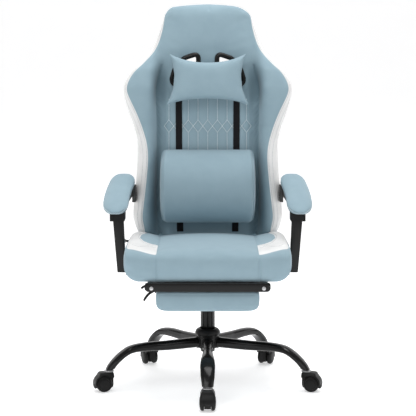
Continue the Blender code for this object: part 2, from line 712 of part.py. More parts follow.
def make_lumbar_pillow():
    """Half-round pillow across the small of the back, its flat side to the back."""
    middle, half_height, depth = 0.6095, 0.1185, 0.098
    rings = []
    for x, scale in ((-0.158, 0.86), (-0.154, 0.95), (-0.146, 1.0), (-0.07, 1.0), (0.07, 1.0),
                     (0.146, 1.0), (0.154, 0.95), (0.158, 0.86)):
        ring = []
        for k in range(15):
            angle = math.pi * k / 14
            z = middle + half_height * scale * math.cos(angle)
            bulge = depth * scale * math.sin(angle)**0.8
            ring.append((x, float(back_face(z)) - 0.006 - bulge - 0.010 * (1 - scale), z))
        rings.append(ring)
    pillow = add_piece("lumbar_pillow", loft_mesh("lumbar_pillow", rings), "fabric")
    move_origin(pillow, (0, float(back_face(middle)) - 0.006, middle))


# --- arms -------------------------------------------------------------------------------------
def arm_top(y):
    """Height of the arm pad's top along the arm."""
    return 0.574 + (y + 0.12) * 0.323


def arm_line(y):
    """Distance of the arm's centre line from the chair's middle; the arms toe out forwards."""
    return 0.257 + (0.14 - y) * 0.104


def make_arm_pad(side, sign):
    """Padded arm, sloping down to the front, thinner at its front edge."""
    stations = ((0.148, 0.62, 0.4), (0.142, 0.82, 0.7), (0.125, 0.97, 1.0), (0.07, 1.0, 1.0),
                (-0.02, 1.0, 0.95), (-0.08, 0.98, 0.80), (-0.105, 0.88, 0.68), (-0.119, 0.66, 0.56),
                (-0.125, 0.40, 0.42))
    rings = []
    for y, wide, thick in stations:
        top = arm_top(y) - 0.004 * (1 - thick)
        section = rounded_section(0.042 * wide, top - 0.036 * thick, top, 0.010 * thick,
                                  0.014 * thick, 3)
        rings.append([(sign * (arm_line(y) + across), y, up) for across, up in section])
    name = "arm_pad_" + side
    pad = add_piece(name, loft_mesh(name, rings), "fabric")
    move_origin(pad, (sign * 0.2520, *ARM_REAR_PIVOT))


def make_arm_plate(side, sign):
    """Arm under the pad: a flat lug on the rear pivot, a bar, and a fork over the post."""
    stations = ((0.206, 0.2520, 0.0045, 0.580, 0.600), (0.178, 0.2520, 0.0045, 0.575, 0.607),
                (0.150, 0.2550, 0.008, 0.577, 0.6215), (0.130, 0.258, 0.014, 0.580, 0.6180),
                (0.05, 0.2664, 0.016, 0.5715, 0.5920), (-0.020, 0.2737, 0.017, 0.550, 0.5708),
                (-0.026, 0.2743, 0.0225, 0.532, 0.5690), (-0.085, 0.2775, 0.0225, 0.529, 0.5555),
                (-0.094, 0.2785, 0.0225, 0.534, 0.5540))
    rings = []
    for y, x, half, low, high in stations:
        rings.append([(sign * (x - half), y, low), (sign * (x + half), y, low),
                      (sign * (x + half), y, high), (sign * (x - half), y, high)])
    name = "arm_plate_" + side
    plate = add_piece(name, loft_mesh(name, rings), "black_plastic")
    slot = sorted((sign * (0.2770 - 0.0176), sign * (0.2770 + 0.0176)))
    boolean(plate, box_mesh("fork_slot", (slot[0], -0.12, 0.50), (slot[1], -0.023, 0.5545)))
    move_origin(plate, (sign * 0.2520, *ARM_REAR_PIVOT))


def make_arm_post(side, sign):
    """Flat post from the seat's side to the fork, round at both pivots."""
    low, high = np.array(POST_PIVOT), np.array(ARM_FRONT_PIVOT)
    along = (high - low) / np.linalg.norm(high - low)
    across = np.array((along[1], -along[0]))
    rings = []
    length = float(np.linalg.norm(high - low))
    for t, half_depth in ((-0.014, 0.007), (-0.008, 0.0125), (0.0, 0.015), (0.08, 0.015),
                          (length, 0.0125), (length + 0.008, 0.009), (length + 0.0122, 0.004)):
        centre = low + along * t
        share = t / length
        x = 0.2696 + 0.0074 * share
        half_width = 0.0132 + 0.0032 * share
        front = centre - across * half_depth
        rear = centre + across * half_depth
        rings.append([(sign * (x - half_width), *front), (sign * (x + half_width), *front),
                      (sign * (x + half_width), *rear), (sign * (x - half_width), *rear)])
    name = "arm_post_" + side
    post = add_piece(name, loft_mesh(name, rings), "black_paint")
    move_origin(post, (sign * 0.2696, *POST_PIVOT))


def make_rear_bracket(side, sign):
    """Bracket on the side of the back that holds the arm's rear pivot."""
    y, z = ARM_REAR_PIVOT
    outline = ((y - 0.018, z - 0.032), (y + 0.030, z - 0.028), (y + 0.034, z + 0.020),
               (y + 0.006, z + 0.028), (y - 0.020, z + 0.012))
    x = sorted((sign * 0.2415, sign * 0.2465))
    bracket = side_plate("arm_bracket_" + side, [round_corners(outline, 0.004)], *x,
                         "black_plastic")
    move_origin(bracket, (sign * 0.2440, *RECLINE_PIVOT))


def make_arms():
    for side, sign in SIDES:
        make_arm_pad(side, sign)
        make_arm_plate(side, sign)
        make_arm_post(side, sign)
        make_rear_bracket(side, sign)


make_hub()
make_legs()
make_column()
make_casters()
make_mechanism()
make_seat()
make_side_rails()
make_footrest()
make_back()
make_straps()
make_back_brackets()
make_recline_lever()
make_head_pillow()
make_lumbar_pillow()
make_arms()
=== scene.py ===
"""Looks of a gaming chair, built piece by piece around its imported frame.

Metres, +Z up; the chair faces -Y and the sitter's right is -X.
"""
import json
import math

import bmesh
import bpy
import numpy as np
from mathutils import Matrix, Vector
from mathutils.bvhtree import BVHTree

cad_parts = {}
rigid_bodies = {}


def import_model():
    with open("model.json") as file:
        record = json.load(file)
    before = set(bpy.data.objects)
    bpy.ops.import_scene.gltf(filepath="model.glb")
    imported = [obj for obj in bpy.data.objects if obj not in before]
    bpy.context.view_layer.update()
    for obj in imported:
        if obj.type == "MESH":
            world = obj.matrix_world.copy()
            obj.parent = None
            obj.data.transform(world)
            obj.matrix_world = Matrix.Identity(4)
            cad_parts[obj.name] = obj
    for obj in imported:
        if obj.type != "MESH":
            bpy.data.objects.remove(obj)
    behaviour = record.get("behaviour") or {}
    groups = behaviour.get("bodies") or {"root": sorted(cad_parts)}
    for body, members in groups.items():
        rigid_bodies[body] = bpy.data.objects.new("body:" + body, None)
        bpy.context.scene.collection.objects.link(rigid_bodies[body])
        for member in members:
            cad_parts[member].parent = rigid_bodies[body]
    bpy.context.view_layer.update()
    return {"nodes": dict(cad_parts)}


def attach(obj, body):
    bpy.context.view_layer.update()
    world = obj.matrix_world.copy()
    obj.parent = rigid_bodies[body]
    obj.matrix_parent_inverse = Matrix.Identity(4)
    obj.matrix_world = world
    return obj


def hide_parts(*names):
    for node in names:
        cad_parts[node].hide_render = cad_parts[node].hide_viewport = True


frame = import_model()
SIDES = (("right", -1), ("left", 1))

# --- The studio -------------------------------------------------------------------------------
# A pale floor that curves up into the backdrop, a wide soft light from above and in front, two
# fills at the sides, and a long lens a little above the seat that looks slightly down.


def stage_mesh(name, half_width, front, back, height, bend):
    """Sweep a floor-to-wall line along X: flat, then a quarter circle of radius bend, then up."""
    turn = np.linspace(0, np.pi / 2, 24)
    y = np.concatenate([[front], back + bend * np.sin(turn), [back + bend]])
    z = np.concatenate([[0.0], bend * (1 - np.cos(turn)), [height]]) - 0.0006
    x = np.array([-half_width, half_width])
    points = np.stack([np.tile(x, len(y)), np.repeat(y, 2), np.repeat(z, 2)], axis=1)
    i = np.arange(len(y) - 1) * 2
    mesh = bpy.data.meshes.new(name)
    mesh.from_pydata(points.tolist(), [], np.stack([i, i + 1, i + 3, i + 2], axis=1).tolist())
    mesh.shade_smooth()
    return mesh


floor = bpy.data.objects.new("studio_floor", stage_mesh("studio_floor", 14, -9, 6, 9, 3))
bpy.context.scene.collection.objects.link(floor)
floor_paint = bpy.data.materials.new("pale_floor")
floor_paint.use_nodes = True
floor_shader = floor_paint.node_tree.nodes["Principled BSDF"]
floor_shader.inputs["Base Color"].default_value = (0.93, 0.93, 0.935, 1)
floor_shader.inputs["Roughness"].default_value = 0.55
floor_shader.inputs["Specular IOR Level"].default_value = 0.25
floor_shader.inputs["Emission Color"].default_value = (1.0, 1.0, 1.0, 1)
floor_shader.inputs["Emission Strength"].default_value = 0.47
floor.data.materials.append(floor_paint)

world = bpy.data.worlds.new("studio_air")
world.use_nodes = True
world.node_tree.nodes["Background"].inputs["Color"].default_value = (1.0, 1.0, 1.0, 1)
world.node_tree.nodes["Background"].inputs["Strength"].default_value = 0.33
bpy.context.scene.world = world


def soft_light(name, place, target, width, height, watts):
    """Rectangular area light at place, turned to the target."""
    lamp = bpy.data.lights.new(name, "AREA")
    lamp.shape = "RECTANGLE"
    lamp.size = width
    lamp.size_y = height
    lamp.energy = watts
    light = bpy.data.objects.new(name, lamp)
    light.location = place
    light.rotation_euler = (Vector(target) - Vector(place)).to_track_quat("-Z", "Y").to_euler()
    bpy.context.scene.collection.objects.link(light)


soft_light("key_light", (-1.2, -3.2, 4.0), (0, 0, 0.6), 3.0, 2.0, 54)
soft_light("top_light", (0.3, 0.4, 3.8), (0, 0, 0.5), 2.6, 2.6, 104)
soft_light("left_fill", (3.4, -1.6, 1.5), (0, 0, 0.6), 1.6, 2.6, 17)
soft_light("right_fill", (-3.4, -1.6, 1.5), (0, 0, 0.6), 1.6, 2.6, 17)

CAMERA_PLACE = (0.001, -4.30, 1.05)
CAMERA_TILT = math.radians(90 - 6.5)
lens = bpy.data.cameras.new("studio_camera")
lens.lens = 119.4
lens.sensor_width = 36.0
lens.clip_end = 60.0
camera = bpy.data.objects.new("studio_camera", lens)
camera.location = CAMERA_PLACE
camera.rotation_euler = (CAMERA_TILT, 0, 0)
bpy.context.scene.collection.objects.link(camera)
bpy.context.scene.camera = camera
bpy.context.scene.view_settings.view_transform = "Standard"

# --- Base hub and legs ------------------------------------------------------------------------
# A steel ring with five pressed legs welded round it. Each leg starts tall and narrow, flattens
# as it bends down, and ends in an upright socket; all of it is sprayed gloss black.


class Wire:
    """A value in a material. Arithmetic on it, from either side, adds the Math nodes."""

    def __init__(self, finish, socket):
        self.finish, self.socket = finish, socket

    def math(self, operation, other=0.0, flip=False):
        pair = {0: other, 1: self} if flip else {0: self, 1: other}
        return self.finish.add("ShaderNodeMath", {"operation": operation}, pair)

    def __add__(self, other): return self.math("ADD", other)
    def __sub__(self, other): return self.math("SUBTRACT", other)
    def __rsub__(self, other): return self.math("SUBTRACT", other, True)
    def __mul__(self, other): return self.math("MULTIPLY", other)
    def __truediv__(self, other): return self.math("DIVIDE", other)
    __radd__ = __add__
    __rmul__ = __mul__

    def between(self, low, high):
        """0 at low, 1 at high, smooth between."""
        settings = {"interpolation_type": "SMOOTHSTEP"}
        return self.finish.add("ShaderNodeMapRange", settings, {0: self, 1: low, 2: high})


class Finish:
    """One procedural material, built with one method that adds any node."""

    def __init__(self, name, roughness, metallic=0.0, **constants):
        self.material = bpy.data.materials.new(name)
        self.material.use_nodes = True
        self.tree = self.material.node_tree
        self.shader = self.tree.nodes["Principled BSDF"]
        self.set("Roughness", roughness)
        self.set("Metallic", metallic)
        for socket, value in constants.items():
            self.set(socket.replace("_", " "), value)
        self.place = self.add("ShaderNodeTexCoord", {}, {}, "Object")

    def add(self, kind, settings, inputs, output=0):
        """Add a node: its settings first, then the values or links of its inputs."""
        node = self.tree.nodes.new(kind)
        for name, value in settings.items():
            setattr(node, name, value)
        for key, value in inputs.items():
            if isinstance(value, Wire):
                self.tree.links.new(value.socket, node.inputs[key])
            else:
                node.inputs[key].default_value = value
        return Wire(self, node.outputs[output])

    def set(self, socket, value):
        """A constant or a link on one of the shader's own sockets."""
        if isinstance(value, Wire):
            self.tree.links.new(value.socket, self.shader.inputs[socket])
        else:
            self.shader.inputs[socket].default_value = value

    def noise(self, scale, detail=2.0, stretch=None):
        """Noise of that scale, 0 to 1, drawn out where stretch is under 1."""
        place = self.place
        if stretch:
            place = self.add("ShaderNodeMapping", {}, {"Vector": place, "Scale": stretch})
        return self.add("ShaderNodeTexNoise", {}, {"Vector": place, "Scale": scale, "Detail": detail})

    def mix(self, share, low, high):
        """Colour between low and high; both are colours or links."""
        ends = {0: share}
        for key, value in ((6, low), (7, high)):
            ends[key] = value if isinstance(value, Wire) else (*value, 1)
        return self.add("ShaderNodeMix", {"data_type": "RGBA"}, ends, 2)

    def bump(self, height, depth, strength=1.0):
        """Normal from a height of 0 to 1 that stands for depth metres."""
        return self.add("ShaderNodeBump", {}, {"Height": height, "Distance": depth, "Strength": strength})


def gloss_black(name, shade=0.0035, roughness=0.16):
    """Sprayed gloss enamel: slight orange peel, and dust-dulled patches."""
    paint = Finish(name, roughness, Coat_Weight=0.32, Coat_Roughness=0.16)
    paint.set("Specular IOR Level", 0.12)
    cloud = paint.noise(9.0, 3.0)
    paint.set("Base Color", paint.mix(cloud, (shade,) * 3, (shade * 1.9,) * 3))
    paint.set("Roughness", cloud.between(0.35, 0.75) * 0.12 + roughness)
    paint.set("Normal", paint.bump(paint.noise(520.0, 1.0), 0.00012, 0.6))
    return paint.material


def grid_quads(rows, columns):
    """Corner numbers of the quads of a grid whose last column meets its first."""
    index = np.arange(rows * columns).reshape(rows, columns)
    return grid_quads_of(np.concatenate([index, index[:, :1]], axis=1))


def grid_quads_of(number):
    """Quads of a grid of corner numbers."""
    corners = (number[:-1, :-1], number[1:, :-1], number[1:, 1:], number[:-1, 1:])
    return np.stack(corners, axis=-1).reshape(-1, 4)


def capped(grid):
    """The grid of rings with its two end rings drawn in to their middles."""
    first = np.broadcast_to(grid[:1].mean(axis=1, keepdims=True), grid[:1].shape)
    last = np.broadcast_to(grid[-1:].mean(axis=1, keepdims=True), grid[-1:].shape)
    return np.concatenate([first, grid, last])


def piece(name, grids, material, sharp=40):
    """One object from grids of points; coincident points are welded and faces turned outwards."""
    points, quads, start = [], [], 0
    for grid in grids:
        rows, columns = grid.shape[:2]
        points.append(grid.reshape(-1, 3))
        quads.append(grid_quads(rows, columns) + start)
        start += rows * columns
    mesh = bpy.data.meshes.new(name)
    mesh.from_pydata(np.concatenate(points).tolist(), [], np.concatenate(quads).tolist())
    weld(mesh)
    mesh.shade_smooth()
    mesh.set_sharp_from_angle(angle=math.radians(sharp))
    mesh.materials.append(material)
    obj = bpy.data.objects.new(name, mesh)
    bpy.context.scene.collection.objects.link(obj)
    return obj


def fit(obj, body, slot, *nodes):
    """The piece moves with that body and stands in for those nodes. slot is not used."""
    if nodes:
        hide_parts(*nodes)
    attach(obj, body)


def weld(mesh):
    """Merge coincident points, drop faces of no area, and point the rest outwards."""
    bm = bmesh.new()
    bm.from_mesh(mesh)
    bmesh.ops.remove_doubles(bm, verts=bm.verts, dist=0.000002)
    bmesh.ops.dissolve_degenerate(bm, edges=bm.edges, dist=0.000001)
    bmesh.ops.recalc_face_normals(bm, faces=bm.faces)
    bm.to_mesh(mesh)
    bm.free()


def smooth_line(points, count):
    """Catmull-Rom curve through the points, at count even steps of its parameter."""
    p = np.array(points, float)
    p = np.vstack([2 * p[0] - p[1], p, 2 * p[-1] - p[-2]])
    t = np.linspace(0, len(p) - 3, count)
    i = np.minimum(t.astype(int), len(p) - 4)
    u = (t - i)[:, None]
    a, b, c, d = p[i], p[i + 1], p[i + 2], p[i + 3]
    cubic = (3 * b - a - 3 * c + d) * u**3 + (2 * a - 5 * b + 4 * c - d) * u**2
    return 0.5 * (2 * b + (c - a) * u + cubic)


def turned(profile, sides=64):
    """Rings of a profile of (radius, height) turned about Z."""
    profile = np.array(profile, float)
    angle = np.linspace(0, 2 * np.pi, sides, endpoint=False)
    r, z = profile[:, :1], profile[:, 1:]
    return np.stack([r * np.cos(angle), r * np.sin(angle), z + 0 * angle], axis=-1)


def ring_turned(profile, sides=64):
    """Like turned, for a closed profile that doesn't touch the axis."""
    return turned(list(profile) + [profile[0]], sides)


def moved(grid, matrix):
    """The points of a grid after a 4 by 4 matrix."""
    m = np.array(matrix)
    return grid @ m[:3, :3].T + m[:3, 3]


def about_z(degrees):
    return Matrix.Rotation(math.radians(degrees), 4, "Z")


def tube(path, radius, sides=12):
    """Rings of a round bar along a path, with one radius or one at each point. Each ring is
    square to the path, and its frame is carried along from the last one's."""
    path = np.array(path, float)
    tangent = np.gradient(path, axis=0)
    tangent /= np.linalg.norm(tangent, axis=1, keepdims=True)
    spare = np.eye(3)[np.argmin(np.abs(tangent).max(axis=0))]
    side = np.cross(tangent, spare)
    side /= np.linalg.norm(side, axis=1, keepdims=True)
    up = np.cross(side, tangent)
    angle = np.linspace(0, 2 * np.pi, sides, endpoint=False)
    radius = np.broadcast_to(radius, len(path))[:, None, None]
    ring = np.cos(angle)[None, :, None] * side[:, None] + np.sin(angle)[None, :, None] * up[:, None]
    return path[:, None] + radius * ring


def squared(angle, power):
    """Cosine and sine of the angle, swelled towards a square's so that a ring is a rounded
    rectangle; a power of 1 leaves it round."""
    cosine, sine = np.cos(angle), np.sin(angle)
    return np.sign(cosine) * np.abs(cosine)**power, np.sign(sine) * np.abs(sine)**power


LEG_AZIMUTHS = (-90, -18, 54, 126, 198)
LEG_PATH = ((0.0345, 0.135), (0.13, 0.131), (0.20, 0.131), (0.245, 0.127), (0.272, 0.1155),
            (0.300, 0.093), (0.321, 0.0675))
LEG_WIDTHS = (0.033, 0.0265, 0.033, 0.042, 0.0460, 0.043, 0.035)
LEG_DEPTHS = (0.033, 0.031, 0.028, 0.024, 0.021, 0.021, 0.023)


def leg_rings(stations=72, sides=40):
    """Superellipse sections along the leg's path: the width across and the depth square to the
    path both change along it, and a low pressed ridge runs down each flank."""
    path = smooth_line(LEG_PATH, stations)
    place = np.linspace(0, len(LEG_PATH) - 1, stations)
    width = np.interp(place, range(len(LEG_PATH)), LEG_WIDTHS)[:, None]
    depth = np.interp(place, range(len(LEG_PATH)), LEG_DEPTHS)[:, None]
    tangent = np.gradient(path, axis=0)
    tangent[-3:] = (0.15, -1), (0.07, -1), (0, -1)
    tangent[0] = (1, 0)
    tangent /= np.linalg.norm(tangent, axis=1, keepdims=True)
    angle = np.linspace(0, 2 * np.pi, sides, endpoint=False)[None]
    wide, deep = squared(angle, 0.82)
    ridge = 0.0009 * np.exp(-((np.sin(angle) - 0.45) / 0.10)**2)
    across = width / 2 * wide + np.sign(wide) * ridge
    high = depth / 2 * deep
    radial = path[:, :1] - tangent[:, 1:] * high
    return np.stack([radial, across, path[:, 1:] + tangent[:, :1] * high], axis=-1)


def weld_bead(width, depth, middle, hub_radius):
    """A rippled bead round the foot of a leg, laid on the hub's cylinder."""
    turn = np.linspace(0, 2 * np.pi, 97)
    wide, deep = squared(turn, 0.82)
    bearing = width / 2 * wide / hub_radius
    z = middle + depth / 2 * deep
    path = np.stack([hub_radius * np.cos(bearing), hub_radius * np.sin(bearing), z], axis=-1)
    return tube(path, 0.0021 * (1 + 0.16 * np.sin(turn * 26)), 8)


chair_black = gloss_black("chair_black_enamel")
leg_grid = capped(leg_rings())
for number, azimuth in enumerate(LEG_AZIMUTHS, 1):
    leg = piece(f"star_leg_{number}", [moved(leg_grid, about_z(azimuth))], chair_black)
    fit(leg, "base", "black_paint", f"base_leg_{number}")

bead = weld_bead(0.034, 0.034, 0.1352, 0.0352)
beads = [moved(bead, about_z(azimuth)) for azimuth in LEG_AZIMUTHS]
hub_profile = ((0.0243, 0.1588), (0.0330, 0.1588), (0.0345, 0.1583), (0.0350, 0.1570),
               (0.0350, 0.1190), (0.0345, 0.1176), (0.0330, 0.1170), (0.0243, 0.1170))
hub = piece("star_hub", [ring_turned(hub_profile)] + beads, chair_black)
fit(hub, "base", "black_paint", "base_hub")

# --- Lift column ------------------------------------------------------------------------------
# A fixed steel tube in the hub, hidden at its foot by a domed plastic collar, and the gas spring
# that slides and turns inside it. The tube has a rolled rim and a bright ground spring.


def nylon_black(name, shade=0.006, grain=0.00016):
    """Moulded nylon with a fine spark-eroded texture, a little shinier on worn high spots."""
    nylon = Finish(name, 0.42)
    nylon.set("Specular IOR Level", 0.20)
    patch = nylon.noise(30.0, 4.0)
    nylon.set("Base Color", nylon.mix(patch, (shade,) * 3, (shade * 1.7,) * 3))
    nylon.set("Roughness", patch * 0.16 + 0.34)
    nylon.set("Normal", nylon.bump(nylon.noise(900.0, 3.0), grain, 0.7))
    return nylon.material


nylon = nylon_black("textured_nylon")
collar_profile = ((0.0243, 0.1775), (0.0262, 0.1786), (0.0290, 0.1785), (0.0325, 0.1768),
                  (0.0358, 0.1738), (0.0384, 0.1700), (0.0396, 0.1660), (0.0396, 0.1625),
                  (0.0386, 0.1602), (0.0370, 0.1595), (0.0243, 0.1595))
collar = piece("column_dust_collar", [ring_turned(collar_profile)], nylon)
fit(collar, "base", "black_nylon", "column_collar")

tube_profile = ((0.0150, 0.2848), (0.0222, 0.2850), (0.0233, 0.2846), (0.0238, 0.2836),
                (0.0236, 0.2822), (0.0229, 0.2812), (0.0229, 0.1060), (0.0222, 0.1050),
                (0.0150, 0.1050))
column = piece("lift_outer_tube", [ring_turned(tube_profile)], chair_black)
fit(column, "base", "black_paint", "column_tube")


def ground_steel(name):
    """Bright steel with fine grinding lines round it."""
    steel = Finish(name, 0.3, 1.0)
    lines = steel.noise(60.0, 3.0, (1, 1, 40))
    steel.set("Base Color", steel.mix(lines, (0.42, 0.42, 0.43), (0.62, 0.62, 0.63)))
    steel.set("Roughness", lines * 0.2 + 0.2)
    steel.set("Normal", steel.bump(lines, 0.00003, 0.4))
    return steel.material


bright_steel = ground_steel("ground_steel")
spring_profile = ((0, 0.320), (0.0060, 0.320), (0.0064, 0.3190), (0.0130, 0.3170),
                  (0.0140, 0.3150), (0.0140, 0.1140), (0.0132, 0.1122), (0, 0.112))
gas_spring = piece("gas_spring_rod", [turned(spring_profile, 48)], bright_steel)
fit(gas_spring, "lift", "steel", "gas_spring")

# --- Casters ----------------------------------------------------------------------------------
# Five moulded nylon twin-wheel casters. Each has a steel stem with a grip ring, a hood that
# covers both wheels and carries the axle in its middle web, and two wheels with recessed caps.
CASTER_AZIMUTHS = (-90, -18, 66, 114, 198)
STEM_CIRCLE = 0.322
TRAIL = 0.019
WHEEL_RADIUS = 0.025
WHEEL_INNER, WHEEL_OUTER = 0.0105, 0.0250
HOOD_HALF = 0.0222
HOOD_TOP = 0.061
FENDER_RADIUS, WELL_RADIUS = 0.0292, 0.0265


def ramp(value, start, end):
    """0 before start, 1 after end, smooth between."""
    share = np.clip((value - start) / (end - start), 0, 1)
    return share * share * (3 - 2 * share)


def fender_radius(angle):
    """Outside of the hood from the wheel's centre: a circle round the trailing side that runs
    into a flat top and an upright back with a rounded corner."""
    top = (HOOD_TOP - WHEEL_RADIUS) / np.maximum(np.sin(angle), 0.05)
    back = (TRAIL + 0.0125) / np.maximum(-np.cos(angle), 0.05)
    squared = (np.minimum(top, 1.0)**-14 + np.minimum(back, 1.0)**-14)**(-1 / 14)
    trailing = 1 / (1 + np.exp((angle - math.radians(66)) / 0.07))
    return trailing * FENDER_RADIUS + (1 - trailing) * np.maximum(squared, FENDER_RADIUS)


def hood_grid():
    """Closed section (across, radius) carried round the wheel's centre from just under the
    trailing side to the stem side; its outer corners are well rounded and it narrows upwards."""
    angle = np.radians(np.linspace(-12, 146, 80))
    round_off = np.radians(np.linspace(0, 90, 8))
    corner = 0.0068
    outer = fender_radius(angle)[:, None]
    across_right = np.concatenate([[1.0], 1 - corner / HOOD_HALF * (1 - np.cos(round_off))])
    drop_right = np.concatenate([[1.0], (1 - np.sin(round_off))])
    across = np.concatenate([across_right, [0.0], -across_right[::-1]]) * HOOD_HALF
    drop = np.concatenate([drop_right, [0.0], drop_right[::-1]])
    ends_down = np.minimum(corner * drop[None], outer - WELL_RADIUS - 0.0002)
    ends_down[:, 0] = ends_down[:, -1] = 0
    radius = outer - ends_down
    radius[:, 0] = radius[:, -1] = WELL_RADIUS
    x = TRAIL + radius * np.cos(angle)[:, None]
    z = WHEEL_RADIUS + radius * np.sin(angle)[:, None]
    lean = 1 - 0.20 * ramp(z, 0.046, 0.062)
    return capped(np.stack([x, across * lean, z], axis=-1))


def web_grid():
    """The block between the wheels: the hood's outline, filled, with rounded edges."""
    angle = np.linspace(0, 2 * np.pi, 96, endpoint=False)
    low = np.interp(np.degrees(angle), (0, 186, 205, 232, 270, 308, 330, 360),
                    (1, 1, 0.032, 0.0142, 0.0112, 0.0142, 0.020, 1))
    upper = fender_radius(np.minimum(angle, math.radians(186))) - 0.0006
    radius = np.minimum(low, upper)
    thick = WHEEL_INNER - 0.0006
    rows = [(0.0, -thick), (0.85, -thick), (0.97, -thick), (1.0, -thick * 0.8),
            (1.0, thick * 0.8), (0.97, thick), (0.85, thick), (0.0, thick)]
    grids = [np.stack([TRAIL + radius * s * np.cos(angle), np.full_like(angle, across),
                       WHEEL_RADIUS + radius * s * np.sin(angle)], axis=-1) for s, across in rows]
    return np.stack(grids)


def wheel_profile():
    """Half section of a wheel: crowned tread, rim, a shadow groove, and a domed cap."""
    r, o, i = WHEEL_RADIUS, WHEEL_OUTER, WHEEL_INNER
    return ((0, o), (0.006, o - 0.0002), (0.0130, o - 0.0009), (0.0164, o - 0.0016),
            (0.0174, o - 0.0020), (0.0178, o - 0.0040), (0.0188, o - 0.0040), (0.0192, o - 0.0024),
            (0.0204, o - 0.0026), (0.0224, o - 0.0036), (0.0240, o - 0.0052), (0.0247, o - 0.0068),
            (r - 0.0001, o - 0.0082), (r, (o + i) / 2 - 0.001), (r - 0.00015, i + 0.0030),
            (0.0246, i + 0.0016), (0.0238, i + 0.0004), (0.0225, i), (0.0036, i),
            (0.0036, 0.0196), (0, 0.0196))


hood_parts = [hood_grid(), web_grid()]
axle_grid = moved(turned(((0, 0.019), (0.003, 0.019), (0.003, -0.019), (0, -0.019)), 20),
                  Matrix.Translation((TRAIL, 0, WHEEL_RADIUS)) @ Matrix.Rotation(math.pi / 2, 4, "X"))
stem_profile = ((0, 0.0745), (0.0042, 0.0745), (0.0050, 0.0737), (0.0050, 0.0710),
                (0.0056, 0.0706), (0.0056, 0.0692), (0.0050, 0.0688), (0.0050, 0.0648),
                (0.0150, 0.0640), (0.0158, 0.0632), (0.0160, 0.0617), (0.0156, 0.0611),
                (0, 0.0613))
stem_grid = turned(stem_profile, 32)
wheel_grid = turned(wheel_profile(), 56)
wheel_nylon = nylon_black("wheel_nylon", 0.005, 0.0001)
for number, (leg_turn, trail_turn) in enumerate(zip(LEG_AZIMUTHS, CASTER_AZIMUTHS), 1):
    foot = about_z(leg_turn) @ Vector((STEM_CIRCLE, 0, 0))
    swivel = Matrix.Translation(foot) @ about_z(trail_turn)
    body = f"caster_{number}_swivel"
    hood = piece(f"caster_hood_{number}", [moved(g, swivel) for g in hood_parts + [axle_grid]], nylon)
    stem = piece(f"caster_stem_{number}", [moved(stem_grid, swivel)], bright_steel)
    for part, node, slot in ((hood, "hood", "black_nylon"), (stem, "stem", "steel")):
        fit(part, body, slot, f"caster_{number}_{node}")
    hub_place = swivel @ Matrix.Translation((TRAIL, 0, WHEEL_RADIUS))
    for side, sign in SIDES:
        turn = hub_place @ Matrix.Rotation(math.radians(-90 * sign), 4, "X")
        wheel = piece(f"caster_wheel_{number}_{side}", [moved(wheel_grid, turn)], wheel_nylon)
        fit(wheel, f"caster_{number}_wheel_{side}_body", "black_nylon", f"caster_{number}_wheel_{side}")

# --- Tilt mechanism ---------------------------------------------------------------------------
# A folded steel box on top of the gas spring that the seat rocks on. It is sprayed black; the
# pivot bolt runs across its front end and the spring's tension knob hangs under it.


def powder_black(name, shade=0.007):
    """Powder coat: soft sheen over a close orange peel."""
    paint = Finish(name, 0.36)
    paint.set("Specular IOR Level", 0.24)
    cloud = paint.noise(12.0, 3.0)
    paint.set("Base Color", paint.mix(cloud, (shade,) * 3, (shade * 1.8,) * 3))
    paint.set("Roughness", cloud * 0.14 + 0.28)
    paint.set("Normal", paint.bump(paint.noise(420.0, 2.0), 0.00018, 0.6))
    return paint.material


powder = powder_black("black_powder_coat")


def keep(node, material, bevel=0.0010):
    """Show a CAD node as it is, with softened edges and its real finish."""
    obj = frame["nodes"][node]
    obj.data.materials.clear()
    obj.data.materials.append(material)
    edge = obj.modifiers.new("soft_edges", "BEVEL")
    edge.width = bevel
    edge.segments = 3
    edge.limit_method = "ANGLE"
    edge.angle_limit = math.radians(30)
    edge.use_clamp_overlap = True


def hex_bolt(radius, height):
    """Hexagon head with a chamfered top on a round flange, standing on z 0."""
    angle = np.linspace(0, 2 * np.pi, 48, endpoint=False)
    corner = np.cos(np.pi / 6) / np.cos((angle % (np.pi / 3)) - np.pi / 6)
    rows = [(0, 0, 1), (radius * 1.30, 0, 1), (radius * 1.34, 0.0005, 1), (radius * 1.26, 0.0011, 1),
            (radius, 0.0013, 0), (radius, height - 0.0006, 0), (radius * 0.86, height, 1),
            (radius * 0.5, height, 1), (0, height, 1)]
    grid = []
    for r, z, round_share in rows:
        reach = r * (round_share + (1 - round_share) * corner)
        grid.append(np.stack([reach * np.cos(angle), reach * np.sin(angle), z + 0 * angle], -1))
    return np.stack(grid)


def facing(place, direction):
    """Matrix that stands a +Z shape at place, pointing in direction."""
    turn = Vector(direction).to_track_quat("Z", "Y").to_matrix().to_4x4()
    return Matrix.Translation(place) @ turn


keep("tilt_housing", powder, 0.0016)
socket_ring = ring_turned(((0.0157, 0.2898), (0.0225, 0.2898), (0.0225, 0.2862), (0.0218, 0.2852),
                           (0.0157, 0.2852)), 48)
cross_tube = moved(turned(((0, -0.050), (0.0088, -0.050), (0.0088, 0.050), (0, 0.050)), 32),
                   facing((0, -0.060, 0.2935), (1, 0, 0)))
folds = piece("housing_sockets", [socket_ring, cross_tube], powder)
fit(folds, "mechanism", "black_paint")

# --- Tension knob -----------------------------------------------------------------------------
# A moulded nylon knob with finger flutes, screwed up under the front of the housing.


def fluted(profile, flutes, depth, sides=96):
    """Turned rings whose radius dips flutes times round wherever it is near its widest."""
    grid = turned(profile, sides)
    radius = np.array(profile)[:, 0]
    share = np.clip((radius / radius.max() - 0.8) / 0.2, 0, 1)[:, None]
    angle = np.linspace(0, 2 * np.pi, sides, endpoint=False)[None]
    grid[..., :2] *= (1 - depth * share * (0.5 + 0.5 * np.cos(flutes * angle)))[..., None]
    return grid


